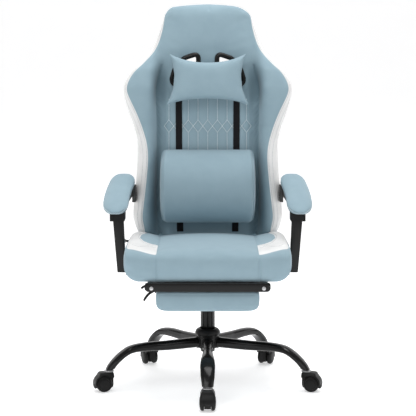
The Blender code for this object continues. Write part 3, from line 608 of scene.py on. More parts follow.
knob_profile = ((0, 0.2892), (0.0080, 0.2892), (0.0080, 0.2852), (0.0180, 0.2836), (0.0208, 0.2822),
                (0.0218, 0.2800), (0.0220, 0.2770), (0.0220, 0.2660), (0.0214, 0.2630),
                (0.0196, 0.2614), (0.0160, 0.2610), (0.0140, 0.2622), (0.0, 0.2626))
knob = piece("spring_knob", [moved(fluted(knob_profile, 12, 0.10),
                                   Matrix.Translation((0, -0.062, 0)))], nylon)
fit(knob, "tension_knob_body", "black_nylon", "tension_knob")

# --- Height lever -----------------------------------------------------------------------------
# A moulded nylon paddle on a steel rod, drooping and widening towards its rounded end. It comes
# out of the housing's right side through a small guide block.


def bar_along(path, half_widths, half_heights, up, sides=28, power=0.8):
    """Superellipse sections along a path; up says which way the second half size points."""
    path = np.array(path, float)
    tangent = np.gradient(path, axis=0)
    tangent /= np.linalg.norm(tangent, axis=1, keepdims=True)
    side = np.cross(tangent, np.array(up, float))
    side /= np.linalg.norm(side, axis=1, keepdims=True)
    rise = np.cross(side, tangent)
    angle = np.linspace(0, 2 * np.pi, sides, endpoint=False)
    cosine, sine = squared(angle, power)
    wide = np.broadcast_to(half_widths, len(path))[:, None, None] * cosine[None, :, None]
    high = np.broadcast_to(half_heights, len(path))[:, None, None] * sine[None, :, None]
    return capped(path[:, None] + wide * side[:, None] + high * rise[:, None])


lever_knots = ((-0.0556, 0.020, 0.305), (-0.110, 0.020, 0.3035), (-0.148, 0.0185, 0.3005),
               (-0.170, 0.015, 0.2945), (-0.187, 0.010, 0.2845), (-0.198, 0.007, 0.2715),
               (-0.2025, 0.006, 0.2630))
lever_path = smooth_line(lever_knots, 64)
along = np.linspace(0, 1, 64)
lever_wide = np.interp(along, (0, 0.40, 0.50, 0.75, 0.93, 0.975, 1), (4, 4, 5, 8, 8.5, 6.5, 2.5)) / 1000
lever_high = np.interp(along, (0, 0.40, 0.50, 0.75, 0.93, 0.975, 1), (4, 4, 4.2, 3.4, 2.8, 2.2, 1)) / 1000
height_grid = bar_along(lever_path, lever_wide, lever_high, (0, 0, 1))
lever_nub = bar_along(((-0.160, 0.019, 0.2985), (-0.163, 0.019, 0.2925), (-0.166, 0.019, 0.2870)),
                      0.0040, (0.0042, 0.0038, 0.0026), (1, 0, 0), 20)
height_handle = piece("height_paddle", [height_grid, lever_nub], nylon)
fit(height_handle, "height_lever_body", "black_nylon", "height_lever")

# --- Tilt lock lever --------------------------------------------------------------------------
# A thin bent steel rod with a black dipped tip that pulls out of the housing's right side.
lock_path = smooth_line(((-0.0556, -0.026, 0.321), (-0.110, -0.026, 0.321), (-0.165, -0.026, 0.3208),
                         (-0.188, -0.026, 0.3195), (-0.200, -0.026, 0.3150),
                         (-0.209, -0.026, 0.3085)), 56)
lock_radius = np.interp(np.linspace(0, 1, 56), (0, 0.55, 0.60, 0.95, 0.985, 1),
                        (2.8, 2.8, 3.9, 3.6, 2.8, 1.2)) / 1000
lock_rod = piece("tilt_lock_rod", [capped(tube(lock_path, lock_radius, 20))], nylon)
fit(lock_rod, "tilt_lock_body", "black_nylon", "tilt_lock_lever")

# --- Seat plate, board and side rails ---------------------------------------------------------
# A thick steel plate bolts the mechanism to a plywood board, and folded steel rails at both
# sides carry the recline pivots and the arm posts. Flanged bolts hold them up into the board.


def plywood():
    """Dark stained rotary-cut ply: long soft grain, thin glue lines through its edge."""
    wood = Finish("bare_plywood", 0.62)
    grain = wood.noise(14.0, 5.0, (1.0, 9.0, 1.0))
    layers = wood.add("ShaderNodeTexWave", {"bands_direction": "Z"},
                      {"Vector": wood.place, "Scale": 95.0, "Distortion": 0.4})
    tone = wood.mix(grain.between(0.3, 0.7), (0.020, 0.016, 0.013), (0.034, 0.028, 0.022))
    wood.set("Base Color", wood.mix(layers * 0.35, tone, (0.010, 0.008, 0.006)))
    wood.set("Roughness", grain * 0.2 + 0.5)
    wood.set("Normal", wood.bump(grain, 0.0002, 0.5))
    return wood.material


keep("seat_plate", powder, 0.0006)
keep("seat_board", plywood(), 0.0006)
for side, sign in SIDES:
    keep(f"side_rail_{side}", powder, 0.0012)
bolt_places = [((sign * 0.050, y, 0.3516), (0, 0, -1)) for sign in (-1, 1) for y in (-0.095, 0.118)]
bolt_places += [((sign * 0.0606, -0.060, 0.345), (sign, 0, 0)) for sign in (-1, 1)]
bolt_places += [((sign * 0.2556, -0.030, 0.376), (sign, 0, 0)) for sign in (-1, 1)]
bolt_places += [((sign * 0.2180, y, 0.356), (sign, 0, 0)) for sign in (-1, 1) for y in (0.06, 0.17)]
bolt_heads = [moved(hex_bolt(0.0048, 0.0040), facing(*place)) for place in bolt_places]
seat_bolts = piece("seat_bolts", bolt_heads, bright_steel)
fit(seat_bolts, "seat", "steel")

# --- Footrest guides and frame ----------------------------------------------------------------
# Two folded guides under the board, and the round rails that slide in them. The rails' front
# ends are pressed flat, and bright bolts hold them to the ends of the bar that the pad turns on.
for side, sign in SIDES:
    keep(f"footrest_guide_{side}", powder, 0.0008)


def rounded_ring(half_wide, low, high, radius, steps=6):
    """Points (across, up) of a rectangle with round corners, anticlockwise."""
    turn = np.linspace(0, np.pi / 2, steps)
    middles = ((1, 1), (-1, 1), (-1, -1), (1, -1))
    centre, half_high = (low + high) / 2, (high - low) / 2
    ring = []
    for k, (sx, sz) in enumerate(middles):
        angle = turn + k * np.pi / 2
        ring.append(np.stack([sx * (half_wide - radius) + radius * np.cos(angle),
                              centre + sz * (half_high - radius) + radius * np.sin(angle)], -1))
    return np.concatenate(ring)


def bar_ends():
    """Bar across the front: straight between the pad's hinges, its flattened ends rounded."""
    ends = ((0.1868, 0.0040, 0.0075), (0.1858, 0.0072, 0.0105), (0.1835, 0.0100, 0.0125),
            (0.1795, 0.0128, 0.0135), (0.1760, 0.0134, 0.0135), (0.1580, 0.0134, 0.0135))
    grid = []
    for x, low, high in [(-x, low, high) for x, low, high in ends] + list(ends[::-1]):
        ring = rounded_ring(0.0072 if abs(x) < 0.17 else 0.0066, -low, high, 0.0030)
        grid.append(np.stack([np.full(len(ring), x), ring[:, 0] - 0.261, ring[:, 1] + 0.353], -1))
    return capped(np.stack(grid))


rails = []
for side, sign in SIDES:
    rail_path = smooth_line(((sign * 0.172, -0.255, 0.3465), (sign * 0.172, -0.12, 0.3465),
                             (sign * 0.172, 0.0, 0.3465), (sign * 0.172, 0.1298, 0.3465)), 40)
    rails.append(capped(tube(rail_path, 0.0067, 24)))
frame_bar = piece("footrest_bar", [bar_ends()] + rails, chair_black)
fit(frame_bar, "footrest", "black_paint", "footrest_frame")
dome = ((0, 0.0022), (0.0030, 0.0020), (0.0052, 0.0012), (0.0060, 0.0002), (0.0060, -0.0006),
        (0, -0.0006))
rivets = [moved(turned(dome, 32), facing((sign * 0.1668, -0.2680, 0.3502), (0, -1, 0)))
          for sign in (-1, 1)]
rivets_piece = piece("footrest_rivets", rivets, bright_steel)
fit(rivets_piece, "footrest", "steel")

# --- Seat cushion -----------------------------------------------------------------------------
# Moulded foam in a sewn woven cover. The crowned middle panel runs over the front edge between
# two seams; each bolster has a white leather hook round its outer and front edge, sewn on.


def block(nx, ny, nz):
    """Skin of a box of nx by ny by nz cells: points from -1 to 1 on each axis, and its quads."""
    shape = (nx + 1, ny + 1, nz + 1)
    index = np.indices(shape)
    skin = np.zeros(shape, bool)
    for axis, count in enumerate((nx, ny, nz)):
        skin |= (index[axis] == 0) | (index[axis] == count)
    number = np.full(shape, -1)
    number[skin] = np.arange(skin.sum())
    points = np.stack([2 * index[axis][skin] / count - 1 for axis, count in
                       enumerate((nx, ny, nz))], axis=-1)
    quads = [grid_quads_of(number.take(end, axis=axis)) for axis in range(3) for end in (0, -1)]
    return points, np.concatenate(quads)


def rounded(points, half, low, high):
    """The box's skin with rounded edges. What lies past the inner box is drawn on to an
    ellipsoid round it; low and high are its radii on each axis's lower and upper side, and
    they may differ from point to point."""
    place = points * half
    inner = np.clip(place, -half + low, half - high)
    past = (place - inner) / np.where(place < inner, low, high)
    length = np.maximum(np.linalg.norm(past, axis=1, keepdims=True), 1e-9)
    return inner + np.where(place < inner, low, high) * past / length


def soft_object(name, points, quads):
    """Mesh object from points and quads, faces turned outwards."""
    mesh = bpy.data.meshes.new(name)
    mesh.from_pydata(points.tolist(), [], quads.tolist())
    weld(mesh)
    mesh.shade_smooth()
    obj = bpy.data.objects.new(name, mesh)
    bpy.context.scene.collection.objects.link(obj)
    return obj


def coordinates(mesh):
    """The mesh's points as one array."""
    flat = np.empty(len(mesh.vertices) * 3, np.float32)
    mesh.vertices.foreach_get("co", flat)
    return flat.reshape(-1, 3).astype(float)


def normals(mesh):
    """The direction out of the mesh at each point."""
    flat = np.empty(len(mesh.vertices) * 3, np.float32)
    mesh.vertex_normals.foreach_get("vector", flat)
    return flat.reshape(-1, 3).astype(float)


def place_all(mesh, points):
    mesh.vertices.foreach_set("co", points.astype(np.float32).ravel())
    mesh.update()


def inflate(obj, hold, pressure, cap):
    """Let the cover fill out: 20 frames of cloth under inside pressure, held at its seams.
    hold is 1 at a point that can't move, and cap is the furthest, in metres, one may go."""
    group = obj.vertex_groups.new(name="held")
    levels = np.round(hold, 1)
    for level in np.unique(levels[levels > 0]):
        group.add(np.nonzero(levels == level)[0].tolist(), float(level), "REPLACE")
    cloth = obj.modifiers.new("filling", "CLOTH")
    cloth.point_cache.frame_start, cloth.point_cache.frame_end = 1, 20
    settings = cloth.settings
    settings.quality, settings.mass = 6, 0.35
    settings.tension_stiffness, settings.compression_stiffness = 16, 12
    settings.shear_stiffness, settings.bending_stiffness = 8, 1.0
    settings.use_pressure, settings.uniform_pressure_force = True, pressure
    settings.effector_weights.gravity = 0
    settings.vertex_group_mass, settings.pin_stiffness = "held", 2.0
    cloth.collision_settings.use_collision = False
    cloth.collision_settings.use_self_collision = False
    for step in range(1, 21):
        bpy.context.scene.frame_set(step)
    filled = obj.evaluated_get(bpy.context.evaluated_depsgraph_get())
    after = coordinates(filled.to_mesh())
    filled.to_mesh_clear()
    bpy.context.scene.frame_set(1)
    obj.modifiers.clear()
    obj.vertex_groups.clear()
    before = coordinates(obj.data)
    far = np.linalg.norm(after - before, axis=1, keepdims=True)
    place_all(obj.data, before + (after - before) * cap * np.tanh(far / cap) / np.maximum(far, 1e-9))


def refine(obj):
    """Apply one level of Catmull-Clark subdivision."""
    smooth = obj.modifiers.new("refine", "SUBSURF")
    smooth.levels = smooth.render_levels = 1
    mesh = bpy.data.meshes.new_from_object(obj.evaluated_get(bpy.context.evaluated_depsgraph_get()))
    obj.modifiers.clear()
    obj.data = mesh
    obj.data.shade_smooth()


def crease(distance, width, depth):
    """Depth of a rounded valley at a distance from its line, or strength of a soft shadow."""
    return depth * np.exp(-(distance / width)**2)


def sink(obj, depth):
    """Press each point of the cover in along its normal."""
    place_all(obj.data, coordinates(obj.data) - normals(obj.data) * depth[:, None])


def store(mesh, name, values):
    """A smooth per-point value that materials can read."""
    layer = mesh.attributes.new(name, "FLOAT", "POINT")
    layer.data.foreach_set("value", values.astype(np.float32))


SEAT_FRONT, SEAT_REAR = -0.268, 0.199
SEAT_LOW, SEAT_HIGH = 0.367, 0.455
SEAT_SEAM = 0.155


def seat_top(x, y):
    """Height of the seat's top: a crowned middle, dips along the seams, and raised bolsters."""
    base = np.interp(y, (-0.27, -0.20, -0.10, 0.05, 0.20), (0.452, 0.456, 0.459, 0.459, 0.452))
    across = np.abs(x)
    bolster = 0.012 * ramp(across, 0.165, 0.222) * ramp(y, -0.30, -0.18)
    middle = (0.002 + 0.001 * ramp(y, -0.10, 0.12)) * np.clip(1 - (across / 0.142)**2, 0, 1)
    dip = 0.003 * np.exp(-((across - 0.148) / 0.020)**2) * ramp(y, -0.20, 0.06)
    return base + bolster + middle - dip


def seat_form(points):
    """The seat before it fills out: a rounded block, widest near the front, with big bottom
    corners, whose top follows seat_top."""
    lift = ramp(points[:, 2], -0.35, 0.35)[:, None]
    radius = (1 - lift) * np.array([0.048, 0.022, 0.046]) + lift * np.array([0.013, 0.034, 0.020])
    low, high = radius.copy(), radius.copy()
    low[:, 2], high[:, 2] = 0.046, 0.020
    half = np.array([0.2510, (SEAT_REAR - SEAT_FRONT) / 2, (SEAT_HIGH - SEAT_LOW) / 2])
    place = rounded(points, half, low, high)
    place[:, 1] += (SEAT_REAR + SEAT_FRONT) / 2
    narrow = np.interp(place[:, 1], (-0.27, -0.16, 0.0, 0.10, 0.20), (0.994, 1.0, 0.996, 0.990, 0.960))
    place[:, 0] *= narrow
    share = (place[:, 2] + half[2]) / (2 * half[2])
    top = seat_top(place[:, 0], place[:, 1])
    low = np.full_like(top, SEAT_LOW)
    place[:, 2] = low + share * (top - low)
    return place


def hook_edge(place):
    """Signed distance inwards from the edge of the white hook, in metres: over 0 is white.
    Its lower edge runs round the front and the side, and its inner edge round the blue patch."""
    across, y, z = np.abs(place[:, 0]), place[:, 1], place[:, 2]
    lower = z - (0.4505 + 0.013 * ramp(across, 0.150, 0.235))
    inner_end = across - 0.1525
    patch_edge = np.interp(y, (-0.20, -0.105, -0.075, -0.02, 0.06, 0.15, 0.22),
                           (0.150, 0.150, 0.196, 0.2115, 0.210, 0.2000, 0.186))
    outside = np.maximum(across - patch_edge, (-0.112 - y) * 0.9)
    return np.minimum(np.minimum(lower, inner_end), outside)


def seat_seams(place):
    """Distance from the nearest seam of the seat's cover."""
    across, z = np.abs(place[:, 0]), place[:, 2]
    upper = z > SEAT_LOW + 0.004
    middle = np.where(upper, np.abs(across - SEAT_SEAM), 1.0)
    return np.minimum(middle, np.abs(hook_edge(place)))


seat_points, seat_quads = block(74, 68, 14)
seat = soft_object("seat_cover", seat_form(seat_points), seat_quads)
seat_place = coordinates(seat.data)
seat_hold = np.maximum(np.exp(-(seat_seams(seat_place) / 0.006)**2),
                       1 - ramp(seat_place[:, 2], 0.372, 0.395))
inflate(seat, seat_hold, 9.0, 0.012)
refine(seat)
seat_place = coordinates(seat.data)
hook = hook_edge(seat_place)
seam_depth = crease(seat_seams(seat_place), 0.0030, 0.0022)
rim = np.abs(hook - 0.0085) + 0.02 * (seat_place[:, 1] < -0.19)
seam_depth += crease(rim, 0.0022, 0.0009) * (hook > 0)
sink(seat, seam_depth)
store(seat.data, "white", hook)


def woven(name, white=True):
    """Grey-blue woven cover: fine threads, faint mottling, a soft pale sheen, and painted shade
    that darkens the blue where a point attribute marks creases and recesses. Where its attribute
    "white" is over 0 it is white leather with a fine pebble grain."""
    cloth = Finish(name, 0.86, Sheen_Weight=0.18, Sheen_Roughness=0.45)
    cloth.set("Specular IOR Level", 0.18)
    mottle = cloth.noise(26.0, 4.0)
    threads = cloth.noise(1500.0, 1.0)
    blue = cloth.mix(mottle.between(0.3, 0.7), (0.276, 0.384, 0.443), (0.294, 0.406, 0.464))
    blue = cloth.mix(threads * 0.35, blue, (0.204, 0.304, 0.362))
    # Painted shade: the blue darkens towards a deep teal where the point attribute is high, standing in for
    # shadow in creases and recesses.
    painted_shade = cloth.add("ShaderNodeAttribute", {"attribute_name": "painted_shade"}, {}, "Fac")
    blue = cloth.mix(painted_shade, blue, (0.026, 0.066, 0.088))
    weave_x = cloth.add("ShaderNodeTexWave", {"bands_direction": "X"},
                        {"Vector": cloth.place, "Scale": 260.0, "Distortion": 1.2})
    weave_z = cloth.add("ShaderNodeTexWave", {"bands_direction": "Z"},
                        {"Vector": cloth.place, "Scale": 260.0, "Distortion": 1.2})
    height = (weave_x + weave_z) * 0.3 + threads * 0.4
    cloth_bump = cloth.bump(height, 0.00022, 0.5)
    if not white:
        cloth.set("Base Color", blue)
        cloth.set("Normal", cloth_bump)
        return cloth.material
    mask = cloth.add("ShaderNodeAttribute", {"attribute_name": "white"}, {}, "Fac")
    mask = mask.between(-0.0006, 0.0006)
    grain = cloth.add("ShaderNodeTexVoronoi", {"feature": "SMOOTH_F1"},
                      {"Vector": cloth.place, "Scale": 620.0}, "Distance")
    shade = cloth.noise(18.0, 3.0).between(0.3, 0.7)
    leather = cloth.mix(shade, (0.74, 0.74, 0.735), (0.80, 0.80, 0.795))
    cloth.set("Base Color", cloth.mix(mask, blue, leather))
    cloth.set("Roughness", 0.86 - mask * 0.42 + shade * 0.06)
    mixed = height * (1.0 - mask) + grain * mask * 0.8
    cloth.set("Normal", cloth.bump(mixed, 0.00022, 0.5))
    return cloth.material


cover = woven("blue_weave_and_white_leather")
seat.data.materials.clear()
seat.data.materials.append(cover)
fit(seat, "seat", "blue_fabric", "seat_cushion")

# --- Footrest pad -----------------------------------------------------------------------------
# A foam slab in the same woven cover, wrapped round a board, with a seam just inside its edges.
pad_points, pad_quads = block(48, 26, 11)
pad_low, pad_high = np.array([0.022, 0.010, 0.022]), np.array([0.022, 0.010, 0.010])
pad_half = np.array([0.1545, 0.0755, 0.0300])
pad_base = rounded(pad_points, pad_half, pad_low, pad_high) + (0, -0.1725, 0.308)
footrest_cover = soft_object("footrest_cover", pad_base, pad_quads)


def footrest_seam(place):
    """Distance from the seam that runs 10 mm inside the outline, on the front and underside."""
    side = 0.1545 - np.abs(place[:, 0])
    end = np.minimum(np.abs(place[:, 2] - 0.278), np.abs(place[:, 2] - 0.338))
    front = np.abs(np.minimum(side, end) - 0.0100)
    return np.where(place[:, 1] < -0.235, front, 1.0)


foot_place = coordinates(footrest_cover.data)
foot_hold = np.maximum(np.exp(-(footrest_seam(foot_place) / 0.005)**2),
                       ramp(foot_place[:, 2], 0.330, 0.337))
inflate(footrest_cover, foot_hold, 6.0, 0.005)
refine(footrest_cover)
sink(footrest_cover, crease(footrest_seam(coordinates(footrest_cover.data)), 0.0022, 0.0009))
plain_cover = woven("blue_weave", white=False)
footrest_cover.data.materials.append(plain_cover)
fit(footrest_cover, "footrest_pad_body", "blue_fabric", "footrest_pad")

# --- Back cushion -----------------------------------------------------------------------------
# Foam moulded over a steel frame, in one sewn cover: a quilted middle panel between two deep
# creases, plump wings, a smooth head panel, and a white leather border round the sides.
BACK_LOW, BACK_HIGH = 0.430, 1.202
BACK_WIDTHS = (  # height, half width over the white sides, half width of the blue front
    (0.430, 0.228, 0.200), (0.470, 0.238, 0.207), (0.510, 0.247, 0.213), (0.550, 0.242, 0.209),
    (0.630, 0.233, 0.200), (0.700, 0.229, 0.195), (0.750, 0.231, 0.1995), (0.800, 0.242, 0.214),
    (0.850, 0.260, 0.2335), (0.900, 0.2755, 0.257), (0.925, 0.279, 0.264), (0.950, 0.273, 0.259),
    (0.980, 0.255, 0.241), (1.010, 0.227, 0.210), (1.045, 0.195, 0.179), (1.080, 0.1745, 0.161),
    (1.130, 0.156, 0.1475), (1.202, 0.140, 0.138))
SCALE_Z = np.linspace(BACK_LOW, BACK_HIGH, 200)
width_curve = smooth_line(BACK_WIDTHS, 400).T
OUTER_HALF, BLUE_HALF = (np.interp(SCALE_Z, width_curve[0], halves) for halves in width_curve[1:])
CREASE_X = 0.1510
OPENING = ((0.034, 0.938), (0.088, 0.934), (0.118, 0.948), (0.106, 0.990), (0.080, 1.022),
           (0.034, 1.037))


def back_face(z):
    return 0.205 + (z - 0.450) * 0.142


def back_rear(z):
    return 0.290 + (z - 0.450) * 0.110


def wing(x, z):
    """How far the wings stand forward of the middle panel. They start at the crease and are
    steepest beside the shoulders."""
    height = np.interp(z, (0.45, 0.56, 0.70, 0.80, 0.86, 0.93, 0.99, 1.05, 1.09),
                       (0.020, 0.046, 0.046, 0.040, 0.048, 0.060, 0.050, 0.012, 0.0))
    wide = np.interp(z, (0.45, 0.80, 0.90, 1.00, 1.06), (0.050, 0.055, 0.042, 0.045, 0.060))
    share = np.clip((np.abs(x) - 0.1490) / wide, 0, 1)
    return height * np.sin(share * np.pi / 2)**1.15


def back_form(points):
    """The back before it fills out: a rounded block as wide as its outline at each height,
    bent so that its front follows the middle panel and the wings."""
    z = BACK_LOW + (points[:, 2] + 1) / 2 * (BACK_HIGH - BACK_LOW)
    half = np.stack([np.interp(z, SCALE_Z, OUTER_HALF) - 0.002, np.full_like(z, 0.035),
                     np.full_like(z, (BACK_HIGH - BACK_LOW) / 2)], axis=-1)
    low = np.array([0.024, 0.018, 0.020])
    upper = ramp(z, 1.08, 1.16)[:, None]
    high = low + upper * np.array([0.030, 0.006, 0.014])
    place = rounded(points, half, low, np.where(upper > 0, high, low))
    arch = ramp(z, 1.10, 1.198) * 0.010 * (np.abs(place[:, 0]) / 0.14)**2
    rise = 0.016 * (1 - ramp(z, 0.430, 0.480)) * ramp(np.abs(place[:, 0]), 0.168, 0.190)
    place[:, 2] += rise - arch
    x, up = place[:, 0], place[:, 2] + (BACK_HIGH + BACK_LOW) / 2
    front_share = (0.035 - place[:, 1]) / 0.070
    front = back_face(up) - wing(x, up)
    y = back_rear(up) - front_share * (back_rear(up) - front)
    return np.stack([x, y, up], axis=-1)


def blue_edge_at(z):
    return np.interp(z, SCALE_Z, BLUE_HALF)


def back_white(place):
    """Over 0 on the white border: outside the seam on the front, and right round the sides."""
    across, y, z = np.abs(place[:, 0]), place[:, 1], place[:, 2]
    over = across - blue_edge_at(z)
    rear_seam = (back_rear(z) - 0.011) - y
    return np.minimum(np.minimum(over, rear_seam), (1.180 - z) + 0.02 * ramp(across, 0.10, 0.13))


def opening_distance(place):
    """Signed distance from the outline of the nearer belt opening, over 0 outside it."""
    p = np.stack([np.abs(place[:, 0]), place[:, 2]], axis=-1)
    corners = np.array(OPENING)
    best = np.full(len(p), -1.0)
    for a, b in zip(corners, np.roll(corners, -1, axis=0)):
        edge = (b - a) / np.linalg.norm(b - a)
        best = np.maximum(best, (p[:, 0] - a[0]) * edge[1] - (p[:, 1] - a[1]) * edge[0])
    return best


def front_side(place):
    """1 on the front of the back, 0 on its rear half."""
    middle = (back_face(place[:, 2]) + back_rear(place[:, 2])) / 2
    return ramp(middle - place[:, 1], -0.004, 0.012)


LINE_PITCH, DIAMOND_Z, DIAMOND_HALF = 0.0320, 0.803, 0.0205


def quilt_distance(place):
    """Distance from the quilting of the middle panel: upright lines every 32 mm that open into
    one row of diamonds."""
    x, z = place[:, 0], place[:, 2]
    nearest = np.abs((x + LINE_PITCH / 2) % LINE_PITCH - LINE_PITCH / 2)
    high = np.abs(z - DIAMOND_Z)
    upright = np.where(high > DIAMOND_HALF, nearest, np.hypot(nearest, DIAMOND_HALF - high))
    slope = LINE_PITCH / 2 / DIAMOND_HALF
    diamond = np.abs(nearest + high * slope - LINE_PITCH / 2) / math.hypot(1, slope)
    diamond = np.where(high < DIAMOND_HALF + 0.002, diamond, 1.0)
    quilt = np.minimum(upright, diamond)
    return np.where((np.abs(x) < CREASE_X - 0.006) & (z < 0.925) & (z > 0.56), quilt, 1.0)


def crease_line(place):
    """Distance from the creases beside the middle panel; they fade out above the shoulders."""
    return np.hypot(np.abs(place[:, 0]) - CREASE_X, np.maximum(place[:, 2] - 1.005, 0))


def back_seams(place):
    across, z = np.abs(place[:, 0]), place[:, 2]
    front = front_side(place) > 0.5
    border = np.abs(across - blue_edge_at(z))
    border = np.where(front & (z < 1.18), border, 1.0)
    rear = np.where(~front, np.abs(back_rear(z) - 0.011 - place[:, 1]), 1.0)
    return np.minimum(border, rear)


back_points, back_quads = block(72, 9, 100)
back = soft_object("back_cover", back_form(back_points), back_quads)
back_place = coordinates(back.data)
front = front_side(back_place)
back_hold = np.maximum(np.exp(-(back_seams(back_place) / 0.006)**2),
                       front * np.exp(-(crease_line(back_place) / 0.008)**2))
back_hold = np.maximum(back_hold, front * 0.9 * np.exp(-(quilt_distance(back_place) / 0.006)**2))
back_hold = np.maximum(back_hold, 1 - ramp(opening_distance(back_place), 0.004, 0.020))
back_hold = np.maximum(back_hold, 1 - ramp(back_place[:, 2], 0.455, 0.475))
inflate(back, back_hold, 6.0, 0.009)
refine(back)
back_place = coordinates(back.data)
front, height = front_side(back_place), back_place[:, 2]
beside = np.abs(back_place[:, 0]) - CREASE_X
sunk = crease(back_seams(back_place), 0.0030, 0.0020)
sunk += front * crease(quilt_distance(back_place), 0.0034, 0.0022)
deep = 1 - ramp(height, 0.920, 1.025)
sunk += front * deep * crease(crease_line(back_place), 0.0060, 0.0095)
sunk += front * deep * crease(beside - 0.004, 0.020, 0.014)
band = np.where(front > 0.5, np.abs(back_white(back_place) - 0.0130), 1.0)
sunk += crease(np.where(height < 0.86, band, 1.0), 0.0024, 0.0012)
sink(back, sunk)
# Painted shade: darkening stored for the cover in the recesses beside the middle panel at the shoulders,
# beside the lumbar pillow at the foot of the wings, along the two creases and in the quilting grooves.
pocket_shade = crease(beside - 0.006, 0.024, 0.62) * ramp(height, 0.84, 0.92) * (1 - ramp(height, 0.945, 1.045))
foot = crease(beside - 0.020, 0.026, 0.64) * (1 - ramp(height, 0.55, 0.74))
line = crease(crease_line(back_place), 0.0035, 0.55)
groove = crease(quilt_distance(back_place), 0.0022, 0.10)
painted_shade = front * np.clip(np.maximum(np.maximum(pocket_shade, foot), line) + groove, 0, 0.85)
store(back.data, "painted_shade", painted_shade)


def outline_loop(corners, radius, steps=7):
    """The polygon with its corners rounded, as points (x, z) in order."""
    corners = np.array(corners, float)
    loop = []
    for before, corner, after in zip(np.roll(corners, 1, 0), corners, np.roll(corners, -1, 0)):
        into = (corner - before) / np.linalg.norm(corner - before)
        out = (after - corner) / np.linalg.norm(after - corner)
        t = np.linspace(0, 1, steps)[:, None]
        start, end = corner - into * radius, corner + out * radius
        loop.append((1 - t)**2 * start + 2 * t * (1 - t) * corner + t * t * end)
    return np.concatenate(loop)


def cut(obj, grid):
    """Cut a closed shape out of the object for good."""
    tool = piece("cutter", [capped(grid)], None)
    tool.data.materials.clear()
    modifier = obj.modifiers.new("cut", "BOOLEAN")
    modifier.solver = "EXACT"
    modifier.object = tool
    mesh = bpy.data.meshes.new_from_object(obj.evaluated_get(bpy.context.evaluated_depsgraph_get()))
    obj.modifiers.clear()
    obj.data = mesh
    bpy.data.objects.remove(tool)


for side, sign in SIDES:
    loop = outline_loop(OPENING, 0.010) * (sign, 1)
    depths = np.array([[0.15], [0.45]])
    cut(back, np.stack([np.broadcast_to(loop[:, 0], (2, len(loop))),
                        np.broadcast_to(depths, (2, len(loop))),
                        np.broadcast_to(loop[:, 1], (2, len(loop)))], axis=-1))
back.data.shade_smooth()
back.data.set_sharp_from_angle(angle=math.radians(50))
store(back.data, "white", back_white(coordinates(back.data)))
back.data.materials.clear()
back.data.materials.append(cover)
fit(back, "back", "blue_fabric", "back_cushion")

# --- Head pillow ------------------------------------------------------------------------------
# A stuffed pincushion pillow: two panels sewn face to face, with drawn-out corners and the
# sides pulled in, plump in the middle. It hangs on straps that pass through the belt openings.


def head_form(points):
    """Two faces that meet at the pincushion outline: thickness falls to the seam as a half
    ellipse both ways."""
    u, v, w = points.T
    half_x = np.interp(w, (-1, -0.75, -0.35, 0.2, 0.7, 1), (0.1350, 0.1240, 0.1130, 0.1090, 0.1160, 0.1265))
    x = u * half_x
    top = 1.0120 + 0.0290 * np.abs(u)**2.3
    bottom = 0.8945 - 0.0200 * np.abs(u)**2.3
    z = np.where(w > 0, 0.955 + w * (top - 0.955), 0.955 + w * (0.955 - bottom))
    plump = np.clip((1 - u**4) * (1 - w**4), 0, 1)**0.5
    y = back_face(z) - 0.040 + v * (0.0030 + 0.026 * plump)
    return np.stack([x, y, z], axis=-1)


head_points, head_quads = block(40, 4, 26)
head = soft_object("head_pillow_cover", head_form(head_points), head_quads)
head_place = coordinates(head.data)
head_offset = np.abs(head_place[:, 1] - back_face(head_place[:, 2]) + 0.040)
inflate(head, 1 - ramp(head_offset, 0.0032, 0.0075), 7.0, 0.010)
refine(head)
head.data.materials.append(plain_cover)
fit(head, "head_pillow_body", "blue_fabric", "head_pillow")

# --- Lumbar pillow ----------------------------------------------------------------------------
# A half-round foam bolster in the woven cover, piped round both ends, its flat side to the back.


PIPING_X = 0.1475
LUMBAR_Z = 0.6095


def lumbar_form(points):
    """Rounded block with a nearly half-elliptical front, leaned to the back's slope."""
    rear = ramp(points[:, 1], 0.45, 0.85)[:, None]
    upright = 0.104 + rear * (0.012 - 0.104)
    low = np.hstack([0.014 + 0 * rear, 0.086 + 0 * rear, upright])
    high = np.hstack([0.014 + 0 * rear, 0.012 + 0 * rear, upright])
    place = rounded(points, np.array([0.1565, 0.0490, 0.1185]), low, high)
    x = place[:, 0] * (1 - 0.04 * (np.abs(place[:, 2]) / 0.1185)**4)
    z = place[:, 2] + LUMBAR_Z
    return np.stack([x, place[:, 1] + back_face(z) - 0.0565, z], axis=-1)


lumbar_points, lumbar_quads = block(44, 14, 34)
lumbar = soft_object("lumbar_pillow_cover", lumbar_form(lumbar_points), lumbar_quads)
lumbar_place = coordinates(lumbar.data)
lumbar_hold = np.maximum(np.exp(-((np.abs(lumbar_place[:, 0]) - PIPING_X) / 0.005)**2),
                         ramp(lumbar_place[:, 1] - back_face(lumbar_place[:, 2]), -0.030, -0.012))
inflate(lumbar, lumbar_hold, 6.0, 0.006)
refine(lumbar)
sink(lumbar, crease(np.abs(coordinates(lumbar.data)[:, 0]) - PIPING_X, 0.0026, 0.0014))
lumbar.data.materials.append(plain_cover)
fit(lumbar, "lumbar_pillow_body", "blue_fabric", "lumbar_pillow")

# --- Arm pads ---------------------------------------------------------------------------------
# Padded arms in the woven cover that slope down and toe out to the front, where they thin to a
# rounded nose; a double-stitched seam runs round them under the top edge.


def arm_top(y):
    return 0.574 + (y + 0.12) * 0.323


def arm_line(y):
    return np.interp(y, (-0.123, -0.05, 0.0, 0.05, 0.10, 0.146),
                     (0.2820, 0.2845, 0.2840, 0.2805, 0.2745, 0.2665))


